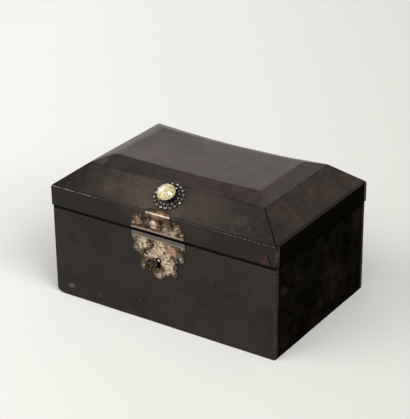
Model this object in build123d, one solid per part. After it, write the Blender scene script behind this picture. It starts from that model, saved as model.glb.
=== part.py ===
from build123d import *
import math
import os

# Leather-covered wooden casket with a hipped lid, a box lock with plates, and a jewelled boss on the lid.
# Millimetres. The origin is the middle of the underside, X runs along the front from left to right,
# Y from the front to the back, and Z up.

# Box
body_length = 250.0
body_depth = 167.2
joint_height = 94.2
board = 10.0
bottom_thickness = 8.0

# Coverings
leather = 1.3
leather_wrap = 5.0
corner_round = 1.6
leather_foot = 0.3
worn_along_front = 6.4
worn_along_end = 3.6
worn_up = 3.6
body_leather_gap = 0.6
lid_leather_gap = 0.8
lining = 0.6
lining_drop = 1.5

# Lid, measured on the outside of its leather
lid_overhang = 0.9
skirt_height = 20.6
slope_rise = 21.3
slope_inset_ends = 28.5
slope_inset_front = 27.1
bevel_rise = 6.3
bevel_inset_ends = 16.0
bevel_inset_front = 18.6
dish_at_front = 0.6
dish_at_back = 2.0
sag_at_crease = 3.6
sag_at_fold = 0.3
lid_board = 9.0
top_board_edge = 4.2

# Cut nails of the carcass
cut_nail_size = 2.0
cut_nail_tip = 0.9
cut_nail_length = 26.0
corner_nails = 3
long_wall_nails = 4
end_wall_nails = 3

# Lock plates on the front
lock_x = -1.0
plate_thickness = 1.0
escutcheon_half_width = 29.9
escutcheon_top_gap = 2.4
escutcheon_height = 42.9
band_height = 3.1
band_relief = 0.7
pin_drop = 25.9
keyhole_bow = 3.0
keyhole_slot = 4.6
keyhole_slot_top = 4.4
keyhole_drop = 8.6
lid_plate_half_width = 29.2
lid_plate_gap = 2.4
rim_relief = 1.0
rim_height = 2.8
tab_half_width = 13.3
tab_length = 4.4
boss_radius = 5.2
boss_relief = 1.5
nail_head_radius = 1.7
nail_head_height = 1.1
nail_shank = 1.1
nail_spare = 0.1
fit = 0.05

# Half outlines of the plates. Escutcheon: (in from its half width, down from its top).
# Lid plate: (in from its half width, up from its foot). Lobes: (across, down or up, radius).
shield_points = [(0, 0), (0, 4.0), (2.7, 10.6), (4.4, 16.8), (8.2, 21.0), (9.6, 26.8), (12.8, 33.4), (22.9, 34.8)]
shield_nails = [(26.6, 4.9), (25.0, 16.0), (16.9, 32.9)]
shield_nail_lobes = [3.5, 3.7, 4.1]
shield_foot_nail = 37.9
shield_foot_lobe = 7.2
shield_corner_lobe = (10.2, 35.4, 1.9)
shield_bites = [(29.5, 11.0, 1.2), (12.6, 38.2, 1.6)]
ear_points = [(0, 0), (0, 3.6), (2.6, 7.4), (3.8, 11.5), (9.8, 14.6), (11.6, 10.0), (14.5, 10.0)]
ear_nails = [(22.6, 10.7), (26.8, 4.6)]
ear_nail_lobes = [4.2, 3.0]
ear_tip_lobe = (18.9, 14.4, 1.5)
boss_x = -4.0
boss_rise = 7.4

# Box lock inside the front board
backplate_half_width = 31.0
backplate_drop = 40.0
lock_metal = 1.2
low_screw_rise = 4.0
high_screw_drop = 6.0
works_half_width = 25.0
works_drop = 35.0
works_wall = 1.7
flange_reach = 8.0
bolt_thickness = 2.8
bolt_height = 8.0
bolt_right = 14.0
bolt_lift = 6.2
bolt_travel = 5.0
bolt_y_gap = 2.15
bolt_run = 0.3
finger_height = 3.2
finger_thickness = 1.8
finger_spare = 0.2
finger_gap = 0.8
block_width = 4.8
block_height = 7.0
talon_width = 6.4
talon_depth = 3.2
guide_width = 3.5
guide_wall = 1.2
guide_left = 17.0
guide_right = 9.0
guide_spare = 1.0
pin_radius = 1.3
pin_tip_gap = 0.2
ward_radius = 5.6
ward_wall = 0.8
ward_depth = 3.0
ward_opening = 110.0
spring_thickness = 0.5
spring_reach = 5.5
spring_foot_length = 1.2
spring_gap = 0.1

# Staple under the lid
staple_half_width = 9.0
staple_thickness = 1.2
staple_front_margin = 1.6
loop_thickness = 2.5
loop_side = 0.9
loop_floor = 1.6
window_side_gap = 0.75
window_top_gap = 0.7
slot_gap = 0.6

# Wood screws
screw_radius = 1.2
screw_head_radius = 2.2
screw_head_depth = 1.1
screw_length = 7.5

# Hinges
hinge_from_end = 55.0
hinge_length = 32.0
leaf_thickness = 1.2
leaf_screws = 2
knuckle_radius = 2.4
knuckle_gap = 0.3
hinge_pin_radius = 1.1
barrel_gap = 0.2
web_gap = 0.4
stop_reach = 5.0
stop_gap = 0.15
lid_opening = 100.0

# Jewelled boss on the front slope
jewel_x = 1.2
jewel_up_slope = 21.0
jewel_oval = 1.12
jewel_plate_radius = 13.4
jewel_plate_thickness = 1.0
jewel_step_radius = 10.95
jewel_step = 0.8
outer_stud_count = 18
outer_stud_ring = 12.9
outer_stud_radius = 1.9
outer_stud_height = 1.9
inner_stud_count = 16
inner_stud_ring = 9.4
inner_stud_radius = 1.5
inner_stud_height = 1.7
stud_sides = 8
stud_table = 0.45
stud_foot = 0.3
setting_foot_radius = 6.0
setting_rim_radius = 8.3
setting_wall = 0.8
setting_height = 6.6
claw_count = 20
claw_height = 1.5
claw_gap = 0.9
stone_radius = 7.3
stone_girdle = 0.6
stone_crown = 2.6
stone_pavilion = 4.4
stone_table = 0.52
seat_gap = 0.8
seat_hole = 1.0
post_radius = 1.6
nut_radius = 3.6
nut_thickness = 2.2
nut_sides = 4
nut_gap = 0.4

# Places worked out from the sizes above
half_length = body_length / 2
half_depth = body_depth / 2
wood_x = half_length - leather
wood_y = half_depth - leather
inner_x = wood_x - board
inner_y = wood_y - board
lid_x = half_length + lid_overhang
lid_y = half_depth + lid_overhang
fold_z = joint_height + skirt_height
crease_z = fold_z + slope_rise
top_z = crease_z + bevel_rise
crease_x = lid_x - slope_inset_ends
crease_y = lid_y - slope_inset_front
slope_angle = math.atan2(slope_rise, slope_inset_front)
beyond = 20.0
hinge_x = half_length - hinge_from_end
pin_height = joint_height - pin_drop
nail_length = plate_thickness + leather + works_wall - nail_spare
bolt_left = guide_left + bolt_travel + guide_spare
finger_length = bolt_travel + finger_spare


def box_between(low, high):
    """A box from its lowest to its highest corner."""
    size = [b - a for a, b in zip(low, high)]
    centre = [(a + b) / 2 for a, b in zip(low, high)]
    return Pos(*centre) * Box(*size)


def prism(points, along):
    """The closed outline through the points, drawn out along a vector."""
    face = Face(Wire.make_polygon([Vector(*p) for p in points], close=True))
    run = Vector(*along)
    return extrude(face, amount=run.length, dir=run.normalized())


def lid_profile(half, inset_low, inset_high, depth):
    """Fold, crease and flat edge of half a lid section, as (out, up), at a depth under the outside."""
    low = math.atan2(slope_rise, inset_low)
    high = math.atan2(bevel_rise, inset_high)
    low_drop = depth / math.cos(low)
    high_drop = depth / math.cos(high)
    fold = (half - depth, fold_z + depth * math.tan(low) - low_drop)
    run = slope_rise - inset_low * math.tan(high) + low_drop - high_drop
    run = run / (math.tan(low) - math.tan(high))
    crease = (half - run, fold_z + run * math.tan(low) - low_drop)
    flat = (half - inset_low - (bevel_rise - depth + high_drop) / math.tan(high), top_z - depth)
    return fold, crease, flat


def end_profile(depth):
    return lid_profile(lid_x, slope_inset_ends, bevel_inset_ends, depth)


def front_profile(depth):
    return lid_profile(lid_y, slope_inset_front, bevel_inset_front, depth)


def hipped(depth, floor):
    """The lid's outer form, sunk in by a depth, as a solid down to a floor."""
    fold, crease, flat = end_profile(depth)
    right = [(fold[0], floor), fold, crease, flat]
    left = [(-u, z) for u, z in reversed(right)]
    across = prism([(u, -lid_y - beyond, z) for u, z in right + left], (0, 2 * (lid_y + beyond), 0))
    fold, crease, flat = front_profile(depth)
    back = [(fold[0], floor), fold, crease, flat]
    front = [(-u, z) for u, z in reversed(back)]
    along = prism([(-lid_x - beyond, u, z) for u, z in back + front], (2 * (lid_x + beyond), 0, 0))
    return across & along


def sag_section(y, level, half_chord, sunk):
    """The space over a sagging line along X: an arc that has sunk under its chord."""
    arc = ThreePointArc((-half_chord, level), (0, level - sunk), (half_chord, level))
    high = top_z + beyond
    rest = Polyline((half_chord, level), (half_chord, high), (-half_chord, high), (-half_chord, level))
    return Plane(origin=(0, y, 0), x_dir=(1, 0, 0), z_dir=(0, -1, 0)) * make_face(arc + rest)


def dished(depth, floor):
    """The hipped form as it has sagged: its flat is dished, and its back crease hangs lower still."""
    fold_end, crease_end, flat_end = end_profile(depth)
    fold, crease, flat = front_profile(depth)
    rate = (dish_at_back - dish_at_front) / (2 * flat[0])
    lines = [
        (-crease[0], flat[1], flat_end[0], dish_at_front - rate * (crease[0] - flat[0])),
        (flat[0], flat[1], flat_end[0], dish_at_back),
        (crease[0], crease[1], crease_end[0], sag_at_crease),
        (fold[0], fold[1], fold_end[0], sag_at_fold),
    ]
    form = hipped(depth, floor)
    for near_line, far_line in zip(lines, lines[1:]):
        form -= loft([sag_section(*near_line), sag_section(*far_line)], ruled=True)
    return form


def wedge(side, floor, inward=0.0):
    """All that lies on one side of the lid's hips: front, back, left or right."""
    step_x = slope_inset_ends
    step_y = slope_inset_front
    out_x = lid_x + step_x
    out_y = lid_y + step_y
    in_x = crease_x - inward * step_x
    in_y = crease_y - inward * step_y
    plan = {
        "front": [(-out_x, -out_y), (out_x, -out_y), (in_x, -in_y), (-in_x, -in_y)],
        "back": [(-out_x, out_y), (out_x, out_y), (in_x, in_y), (-in_x, in_y)],
        "left": [(-out_x, -out_y), (-out_x, out_y), (-in_x, in_y), (-in_x, -in_y)],
        "right": [(out_x, -out_y), (out_x, out_y), (in_x, in_y), (in_x, -in_y)],
    }
    return prism([(x, y, floor) for x, y in plan[side]], (0, 0, top_z + beyond - floor))


def rounded_block(half_x, half_y, low, high, radius):
    """A block with its upright edges rounded."""
    block = box_between((-half_x, -half_y, low), (half_x, half_y, high))
    return fillet(block.edges().filter_by(Axis.Z), radius)


def worn_off(depth):
    """What is rubbed away outside a facet across the front left foot, sunk in by a depth."""
    inward = Vector(1 / worn_along_front, 1 / worn_along_end, 1 / worn_up)
    way_in = inward.normalized()
    start = Vector(-half_length, -half_depth, 0) + way_in * (1 / inward.length + depth)
    place = Plane(origin=start, z_dir=-way_in).location * Pos(0, 0, beyond / 2)
    return place * Box(2 * beyond, 2 * beyond, beyond)


def cylinder_between(start, end, radius):
    """A round bar from one point to another."""
    run = Vector(*end) - Vector(*start)
    plane = Plane(origin=start, z_dir=run.normalized())
    return extrude(plane * Circle(radius), amount=run.length)


def cut_nail(point, direction):
    """A square cut nail that starts at a point and tapers along a direction."""
    head = Plane(origin=point, z_dir=direction) * Rectangle(cut_nail_size, cut_nail_size)
    taper = math.atan2((cut_nail_size - cut_nail_tip) / 2, cut_nail_length)
    return extrude(head, amount=cut_nail_length, taper=math.degrees(taper))


def dome_nail(point, direction, spare=0.0):
    """A dome-headed nail on a square shank: the point lies under the head, the shank runs the other way."""
    plane = Plane(origin=point, z_dir=direction)
    shank = extrude(plane * Rectangle(nail_shank + 2 * spare, nail_shank + 2 * spare), amount=-nail_length)
    if spare > 0:
        return shank
    sphere = (nail_head_radius ** 2 + nail_head_height ** 2) / (2 * nail_head_height)
    with BuildPart() as head:
        with BuildSketch(Plane.XZ):
            with BuildLine():
                Line((0, 0), (nail_head_radius, 0))
                RadiusArc((nail_head_radius, 0), (0, nail_head_height), -sphere)
                Line((0, nail_head_height), (0, 0))
            make_face()
        revolve(axis=Axis.Z)
    return plane.location * head.part + shank


def wood_screw(point, direction, spare=0.0):
    """A countersunk screw: the point is the middle of its flat head, and the shank runs along."""
    plane = Plane(origin=point, z_dir=direction)
    shank = extrude(plane * Circle(screw_radius + spare), amount=screw_length)
    head = loft([
        plane * Circle(screw_head_radius + spare),
        plane.offset(screw_head_depth) * Circle(screw_radius + spare),
    ])
    return shank + head


def group(solids):
    """Like fasteners, kept as separate solids in one node."""
    return Compound(children=[Solid(s.solids()[0].wrapped) for s in solids])


# Nail places, as (across from the middle, up)
escutcheon_top = joint_height - escutcheon_top_gap
escutcheon_spots = [(u, escutcheon_top - drop) for u, drop in shield_nails]
lid_plate_low = joint_height + lid_plate_gap
lid_plate_spots = [(u, lid_plate_low + rise) for u, rise in ear_nails]

# Carcass
front_wood = -wood_y
front_inside = -inner_y
bottom_board = box_between((-wood_x, -wood_y, 0), (wood_x, wood_y, bottom_thickness))
front_board = box_between((-wood_x, -wood_y, bottom_thickness), (wood_x, -inner_y, joint_height))
back_board = box_between((-wood_x, inner_y, bottom_thickness), (wood_x, wood_y, joint_height))
left_board = box_between((-wood_x, -inner_y, bottom_thickness), (-inner_x, inner_y, joint_height))
right_board = box_between((inner_x, -inner_y, bottom_thickness), (wood_x, inner_y, joint_height))
bottom_board -= worn_off(leather)

wall_height = joint_height - bottom_thickness
corner_levels = [bottom_thickness + wall_height * (i + 0.5) / corner_nails for i in range(corner_nails)]
carcass_nails = []
for x in (-wood_x + board / 2, wood_x - board / 2):
    for z in corner_levels:
        carcass_nails.append(cut_nail((x, -wood_y, z), (0, 1, 0)))
        carcass_nails.append(cut_nail((x, wood_y, z), (0, -1, 0)))
bottom_nails = []
for i in range(long_wall_nails):
    x = wood_x * (2 * (i + 0.5) / long_wall_nails - 1)
    for y in (-wood_y + board / 2, wood_y - board / 2):
        bottom_nails.append(cut_nail((x, y, 0), (0, 0, 1)))
for i in range(end_wall_nails):
    y = inner_y * (2 * (i + 0.5) / end_wall_nails - 1)
    for x in (-wood_x + board / 2, wood_x - board / 2):
        bottom_nails.append(cut_nail((x, y, 0), (0, 0, 1)))

# Leather of the body: a thin ring with rounded corners, split into four sheets
body_skin_top = joint_height - body_leather_gap
body_skin = rounded_block(half_length, half_depth, leather_foot, body_skin_top, corner_round)
body_skin -= worn_off(0)
body_skin -= box_between((-wood_x, -wood_y, -1), (wood_x, wood_y, joint_height)) - worn_off(leather)
wrap_y = half_depth - leather_wrap
reach = half_length + beyond
front_leather = body_skin & box_between((-reach, -half_depth - beyond, -1), (reach, -wrap_y, joint_height))
back_leather = body_skin & box_between((-reach, wrap_y, -1), (reach, half_depth + beyond, joint_height))
left_leather = body_skin & box_between((-reach, -wrap_y, -1), (0, wrap_y, joint_height))
right_leather = body_skin & box_between((0, -wrap_y, -1), (reach, wrap_y, joint_height))

# Paper lining of the inside
lining_top = joint_height - lining_drop
lining_floor = bottom_thickness + lining
paper_x = inner_x - lining
floor_lining = box_between((-inner_x, -inner_y, bottom_thickness), (inner_x, inner_y, lining_floor))
front_lining = box_between((-inner_x, -inner_y, lining_floor), (inner_x, -inner_y + lining, lining_top))
back_lining = box_between((-inner_x, inner_y - lining, lining_floor), (inner_x, inner_y, lining_top))
paper_y = inner_y - lining
left_lining = box_between((-inner_x, -paper_y, lining_floor), (-paper_x, paper_y, lining_top))
right_lining = box_between((paper_x, -paper_y, lining_floor), (inner_x, paper_y, lining_top))

# Lid boards: rails under the folds, slopes up to the seat of the top board, all mitred on the hips
wood_form = dished(leather, joint_height)
hollow_depth = leather + lid_board
crease_wood = min(end_profile(leather)[1][1], front_profile(leather)[1][1])
seat_z = crease_wood - top_board_edge
lid_top_board = wood_form & box_between((-lid_x, -lid_y, seat_z), (lid_x, lid_y, top_z + 1))


def lid_boards(profile, place, run):
    """A rail and a slope board along one side. place turns (out, up) into a point, run is their length."""
    outer = profile(leather)
    inner = profile(hollow_depth)
    rail = [(outer[0][0], joint_height), outer[0], inner[0], (inner[0][0], joint_height)]
    lean_out = (outer[1][0] - outer[0][0]) / (outer[1][1] - outer[0][1])
    lean_in = (inner[1][0] - inner[0][0]) / (inner[1][1] - inner[0][1])
    seat_out = (outer[0][0] + lean_out * (seat_z - outer[0][1]), seat_z)
    seat_in = (inner[0][0] + lean_in * (seat_z - inner[0][1]), seat_z)
    slope = [outer[0], seat_out, seat_in, inner[0]]
    return [prism([place(u, z) for u, z in points], run) for points in (rail, slope)]


mitre_inward = 0.8
along_x = (2 * (lid_x + beyond), 0, 0)
along_y = (0, 2 * (lid_y + beyond), 0)
start_x = -lid_x - beyond
start_y = -lid_y - beyond
lid_wood = {}
for side, profile, place, run in (
    ("front", front_profile, lambda u, z: (start_x, -u, z), along_x),
    ("back", front_profile, lambda u, z: (start_x, u, z), along_x),
    ("left", end_profile, lambda u, z: (-u, start_y, z), along_y),
    ("right", end_profile, lambda u, z: (u, start_y, z), along_y),
):
    cheek = wedge(side, joint_height - 1, mitre_inward)
    rail, slope = lid_boards(profile, place, run)
    lid_wood[f"lid_{side}_rail"] = rail & cheek & wood_form
    lid_wood[f"lid_{side}_slope"] = slope & cheek & wood_form

# Leather of the lid: front and back wrap round the skirt's corners, and meet the ends on the hips
lid_skin_low = joint_height + lid_leather_gap
lid_skin = dished(0, lid_skin_low) & rounded_block(lid_x, lid_y, 0, top_z + 1, corner_round)
lid_skin -= dished(leather, joint_height - 1)
lid_wrap_y = lid_y - leather_wrap
far_x = lid_x + beyond
far_y = lid_y + beyond
skirts = {
    "front": box_between((-far_x, -far_y, 0), (far_x, -lid_wrap_y, fold_z)),
    "back": box_between((-far_x, lid_wrap_y, 0), (far_x, far_y, fold_z)),
    "left": box_between((-far_x, -lid_wrap_y, 0), (0, lid_wrap_y, fold_z)),
    "right": box_between((0, -lid_wrap_y, 0), (far_x, lid_wrap_y, fold_z)),
}
lid_sheets = {}
for side, skirt in skirts.items():
    lid_sheets[side] = (lid_skin & skirt) + (lid_skin & wedge(side, fold_z))
lid_top_leather = lid_skin & box_between((-crease_x, -crease_y, fold_z), (crease_x, crease_y, top_z + 1))

# Lining of the lid's hollow
lining_low = joint_height + lining_drop
lid_lining = hipped(hollow_depth, lining_low)
lid_lining &= box_between((-lid_x, -lid_y, 0), (lid_x, lid_y, seat_z))
paper_hollow = hipped(hollow_depth + lining, lining_low - 1)
paper_hollow &= box_between((-lid_x, -lid_y, 0), (lid_x, lid_y, seat_z - lining))
lid_lining -= paper_hollow

# Escutcheon on the body: a lobed shield with a raised band along its top
plate_front = -half_depth - plate_thickness


def lobed_outline(half_points, lobes, bites=()):
    """A symmetric face in the front plane, from half an outline, round lobes and round bites."""
    points = half_points + [(-u, z) for u, z in reversed(half_points)]
    shape = make_face(Polyline(*points, close=True))
    for side in (1, -1):
        for u, z, radius in lobes:
            shape += Pos(side * u, z) * Circle(radius)
        for u, z, radius in bites:
            shape -= Pos(side * u, z) * Circle(radius)
    return shape


def front_plate(shape, y, thickness):
    """A face drawn as (across, up) stood up in the front plane, from y forwards by a thickness."""
    plane = Plane(origin=(lock_x, y, 0), x_dir=(1, 0, 0), z_dir=(0, -1, 0))
    return extrude(plane * shape, amount=thickness)


shield_half = [(escutcheon_half_width - inset, escutcheon_top - drop) for inset, drop in shield_points]
shield_lobes = [(u, z, radius) for (u, z), radius in zip(escutcheon_spots, shield_nail_lobes)]
corner_u, corner_drop, corner_lobe = shield_corner_lobe
shield_lobes.append((corner_u, escutcheon_top - corner_drop, corner_lobe))
shield_notches = [(u, escutcheon_top - drop, radius) for u, drop, radius in shield_bites]
shield = lobed_outline(shield_half, shield_lobes, shield_notches)
foot_level = escutcheon_top - escutcheon_height + shield_foot_lobe
shield += Pos(0, foot_level) * Circle(shield_foot_lobe)
bow = Pos(0, pin_height) * Circle(keyhole_bow)
slot_half = [(keyhole_slot_top / 2, pin_height), (keyhole_slot / 2, pin_height - keyhole_drop)]
keyhole = bow + make_face(Polyline(*slot_half, *[(-u, z) for u, z in reversed(slot_half)], close=True))
lock_escutcheon = front_plate(shield, -half_depth, plate_thickness)
band = Pos(0, escutcheon_top - band_height / 2) * Rectangle(2 * escutcheon_half_width, band_height)
lock_escutcheon += front_plate(band, plate_front, band_relief)
groove = Pos(0, escutcheon_top - band_height / 2) * Rectangle(3 * escutcheon_half_width, band_height / 4)
lock_escutcheon -= front_plate(groove, plate_front - band_relief / 2, band_relief)
keyhole_cut = front_plate(keyhole, -wood_y + board, board + leather + 3 * plate_thickness)
lock_escutcheon -= keyhole_cut
front_leather -= keyhole_cut

escutcheon_nails = []
nail_cuts = []
foot_spot = (0, escutcheon_top - shield_foot_nail)
for u, z in [(side * u, z) for u, z in escutcheon_spots for side in (1, -1)] + [foot_spot]:
    spot = (lock_x + u, plate_front, z)
    escutcheon_nails.append(dome_nail(spot, (0, -1, 0)))
    nail_cuts.append(dome_nail(spot, (0, -1, 0), fit))
for cut in nail_cuts:
    lock_escutcheon -= cut
    front_leather -= cut
    front_board -= cut

# Lid plate: ears with nails, a raised rim along its foot, and a tab folded over the skirt's top edge
lid_front = -lid_y
slope_normal = Vector(0, -math.sin(slope_angle), math.cos(slope_angle))
slope_up = Vector(0, math.cos(slope_angle), math.sin(slope_angle))
fold_point = Vector(0, lid_front, fold_z)
ear_half = [(lid_plate_half_width - inset, lid_plate_low + rise) for inset, rise in ear_points]
ear_half.append((tab_half_width, fold_z))
ear_lobes = [(u, z, radius) for (u, z), radius in zip(lid_plate_spots, ear_nail_lobes)]
tip_u, tip_rise, tip_lobe = ear_tip_lobe
ear_lobes.append((tip_u, lid_plate_low + tip_rise, tip_lobe))
ears = lobed_outline(ear_half, ear_lobes)
lid_plate = front_plate(ears, lid_front, plate_thickness)
outer_fold = fold_point + Vector(0, -plate_thickness, plate_thickness * math.tan(slope_angle / 2))
tab_end = fold_point + slope_up * tab_length
tab_points = [
    fold_point - Vector(0, 0, plate_thickness),
    fold_point - Vector(0, plate_thickness, plate_thickness),
    outer_fold,
    tab_end + slope_normal * plate_thickness,
    tab_end,
    fold_point,
]
tab_shift = Vector(lock_x - tab_half_width, 0, 0)
lid_plate += prism([tuple(p + tab_shift) for p in tab_points], (2 * tab_half_width, 0, 0))
rim = Pos(0, lid_plate_low + rim_height / 2) * Rectangle(2 * lid_plate_half_width, rim_height)
rim_bar = front_plate(rim, lid_front - plate_thickness, rim_relief)
lid_plate += chamfer(rim_bar.edges().filter_by(Axis.X).group_by(Axis.Y)[0], rim_relief * 0.6)
sphere_radius = (boss_radius ** 2 + boss_relief ** 2) / (2 * boss_relief)
boss_y = lid_front - plate_thickness - boss_relief + sphere_radius
boss = Pos(lock_x + boss_x, boss_y, lid_plate_low + boss_rise) * Sphere(sphere_radius)
boss &= box_between((-lid_x, lid_front - beyond, 0), (lid_x, lid_front - plate_thickness / 2, fold_z))
lid_plate += boss

lid_plate_nails = []
for u, z in [(side * u, z) for u, z in lid_plate_spots for side in (1, -1)]:
    spot = (lock_x + u, lid_front - plate_thickness, z)
    lid_plate_nails.append(dome_nail(spot, (0, -1, 0)))
    cut = dome_nail(spot, (0, -1, 0), fit)
    lid_plate -= cut
    lid_sheets["front"] -= cut
    lid_wood["lid_front_rail"] -= cut

# Box lock: backplate with its flange, let into the front board from the inside
plate_back = front_inside
plate_face = plate_back - lock_metal
flange_front = plate_face - flange_reach
works_front = front_wood + works_wall
backplate_low = joint_height - backplate_drop
flange_low = joint_height - lock_metal
left_edge = lock_x - backplate_half_width
right_edge = lock_x + backplate_half_width
backplate = box_between((left_edge, plate_face, backplate_low), (right_edge, plate_back, joint_height))
flange = box_between((left_edge, flange_front, flange_low), (right_edge, plate_face, joint_height))
works = box_between(
    (lock_x - works_half_width, works_front, joint_height - works_drop),
    (lock_x + works_half_width, plate_face, flange_low),
)
front_board -= backplate
front_board -= flange
front_board -= works
front_board -= keyhole_cut
front_lining -= box_between(
    (left_edge - fit, plate_back - 1, backplate_low - fit),
    (right_edge + fit, plate_back + board, joint_height),
)

# Bolt: a bar with a talon notch, and a block whose finger goes through the staple's window
bolt_back = plate_face - bolt_y_gap
bolt_front = bolt_back - bolt_thickness
bolt_mid = (bolt_front + bolt_back) / 2
bar_low = pin_height + bolt_lift
bar_top = bar_low + bolt_height
block_right = -loop_thickness / 2 - finger_gap - finger_length
finger_tip = -loop_thickness / 2 - finger_gap
finger_top = bar_top + block_height
lock_bolt = box_between((lock_x - bolt_left, bolt_front, bar_low), (lock_x + bolt_right, bolt_back, bar_top))
lock_bolt += box_between(
    (lock_x + block_right - block_width, bolt_front, bar_top),
    (lock_x + block_right, bolt_back, finger_top),
)
lock_bolt += box_between(
    (lock_x + block_right, bolt_mid - finger_thickness / 2, finger_top - finger_height),
    (lock_x + finger_tip, bolt_mid + finger_thickness / 2, finger_top),
)
lock_bolt -= box_between(
    (lock_x - talon_width / 2, bolt_front - 1, bar_low - 1),
    (lock_x + talon_width / 2, bolt_back + 1, bar_low + talon_depth),
)

# Guides: solid blocks on the backplate with a hole that the bar runs in
lock_guides = []
for guide_start in (-guide_left, guide_right):
    x = lock_x + guide_start
    guide = box_between(
        (x, bolt_front - bolt_run - guide_wall, bar_low - bolt_run - guide_wall),
        (x + guide_width, plate_face, bar_top + bolt_run + guide_wall),
    )
    guide -= box_between(
        (x - 1, bolt_front - bolt_run, bar_low - bolt_run),
        (x + guide_width + 1, bolt_back + bolt_run, bar_top + bolt_run),
    )
    lock_guides.append(guide)
guide_top = bar_top + bolt_run + guide_wall

# Drill pin and ring ward, open towards the bolt
pin_tip = plate_front + pin_tip_gap
lock_pin = cylinder_between((lock_x, plate_face, pin_height), (lock_x, pin_tip, pin_height), pin_radius)
ward_face = Circle(ward_radius + ward_wall) - Circle(ward_radius)
gap_half = math.radians(ward_opening / 2)
gap_reach = 3 * ward_radius
ward_gap = make_face(Polyline(
    (0, 0),
    (gap_reach * math.sin(gap_half), gap_reach * math.cos(gap_half)),
    (0, 2 * gap_reach),
    (-gap_reach * math.sin(gap_half), gap_reach * math.cos(gap_half)),
    close=True,
))
lock_ward = front_plate(Pos(0, pin_height) * (ward_face - ward_gap), plate_face, ward_depth)

# Leaf spring: lies on the right guide and bends down to the bar
spring_seat = lock_x + guide_right
spring_low = bar_top + spring_gap
spring_foot = spring_seat - spring_reach
spring_path = [
    (spring_seat + guide_width, guide_top),
    (spring_seat, guide_top),
    (spring_foot + spring_foot_length, spring_low),
    (spring_foot, spring_low),
    (spring_foot, spring_low + spring_thickness),
    (spring_foot + spring_foot_length, spring_low + spring_thickness),
    (spring_seat, guide_top + spring_thickness),
    (spring_seat + guide_width, guide_top + spring_thickness),
]
lock_spring = prism([(x, bolt_front, z) for x, z in spring_path], (0, bolt_thickness, 0))

# Staple: a plate let into the lid's front rail, with a loop that hangs into the lock
window_half = bolt_thickness / 2 + window_side_gap
loop_half = window_half + loop_side
window_low = finger_top - finger_height - window_top_gap
window_top = finger_top + window_top_gap
loop_low = window_low - loop_floor
rail_inside = -front_profile(hollow_depth)[0][0]
staple_front = -front_profile(leather)[0][0] + staple_front_margin
staple_plate = box_between(
    (lock_x - staple_half_width, staple_front, joint_height),
    (lock_x + staple_half_width, rail_inside, joint_height + staple_thickness),
)
lid_wood["lid_front_rail"] -= staple_plate
loop = box_between(
    (lock_x - loop_thickness / 2, bolt_mid - loop_half, loop_low),
    (lock_x + loop_thickness / 2, bolt_mid + loop_half, joint_height),
)
loop -= box_between(
    (lock_x - loop_thickness, bolt_mid - window_half, window_low),
    (lock_x + loop_thickness, bolt_mid + window_half, window_top),
)
lock_staple = staple_plate + loop
staple_slot = box_between(
    (lock_x - loop_thickness / 2 - slot_gap, bolt_mid - loop_half - slot_gap, flange_low - 1),
    (lock_x + loop_thickness / 2 + slot_gap, plate_face, joint_height + 1),
)
lock_backplate = backplate + flange - staple_slot

staple_screws = []
for side in (-1, 1):
    x = lock_x + side * (staple_half_width + loop_thickness / 2) / 2
    spot = (x, (staple_front + rail_inside) / 2, joint_height)
    staple_screws.append(wood_screw(spot, (0, 0, 1)))
    cut = wood_screw(spot, (0, 0, 1), fit)
    lock_staple -= cut
    lid_wood["lid_front_rail"] -= cut

lock_screws = []
screw_column = (backplate_half_width + works_half_width) / 2
for side in (-1, 1):
    for z in (backplate_low + low_screw_rise, flange_low - high_screw_drop):
        spot = (lock_x + side * screw_column, plate_back, z)
        lock_screws.append(wood_screw(spot, (0, -1, 0)))
        cut = wood_screw(spot, (0, -1, 0), fit)
        lock_backplate -= cut
        front_board -= cut

# Hinges: leaves let into the rims, three knuckles behind the back, and stops that the lid's back lands on
axis_y = lid_y + knuckle_gap + knuckle_radius
barrel_length = (hinge_length - 2 * barrel_gap) / 3
leaf_edge = axis_y - knuckle_radius - knuckle_gap
leaf_inside = front_profile(hollow_depth)[0][0]
web_end = axis_y - hinge_pin_radius - web_gap
stop_lean = math.radians(lid_opening - 90)
back_face_gap = axis_y - lid_y
stop_level = back_face_gap - stop_gap


def barrel(x, low, high):
    """A knuckle from low to high along a hinge that starts at x."""
    start = (x + low, axis_y, joint_height)
    end = (x + high, axis_y, joint_height)
    return cylinder_between(start, end, knuckle_radius)


def pin_hole(x):
    """The bore for the pin, right through a hinge that starts at x."""
    start = (x - 1, axis_y, joint_height)
    end = (x + hinge_length + 1, axis_y, joint_height)
    return cylinder_between(start, end, hinge_pin_radius + fit)


def stop_block(x, low, high):
    """A tail behind a knuckle; its top leans as the lid's back does when the lid is fully open."""
    near = axis_y
    far = axis_y + knuckle_radius + stop_reach
    top_near = joint_height + stop_level / math.cos(stop_lean)
    top_far = top_near - (far - near) * math.tan(stop_lean)
    points = [
        (x + low, near, joint_height - knuckle_radius),
        (x + low, far, joint_height),
        (x + low, far, top_far),
        (x + low, near, top_near),
    ]
    return prism(points, (high - low, 0, 0))


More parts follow.
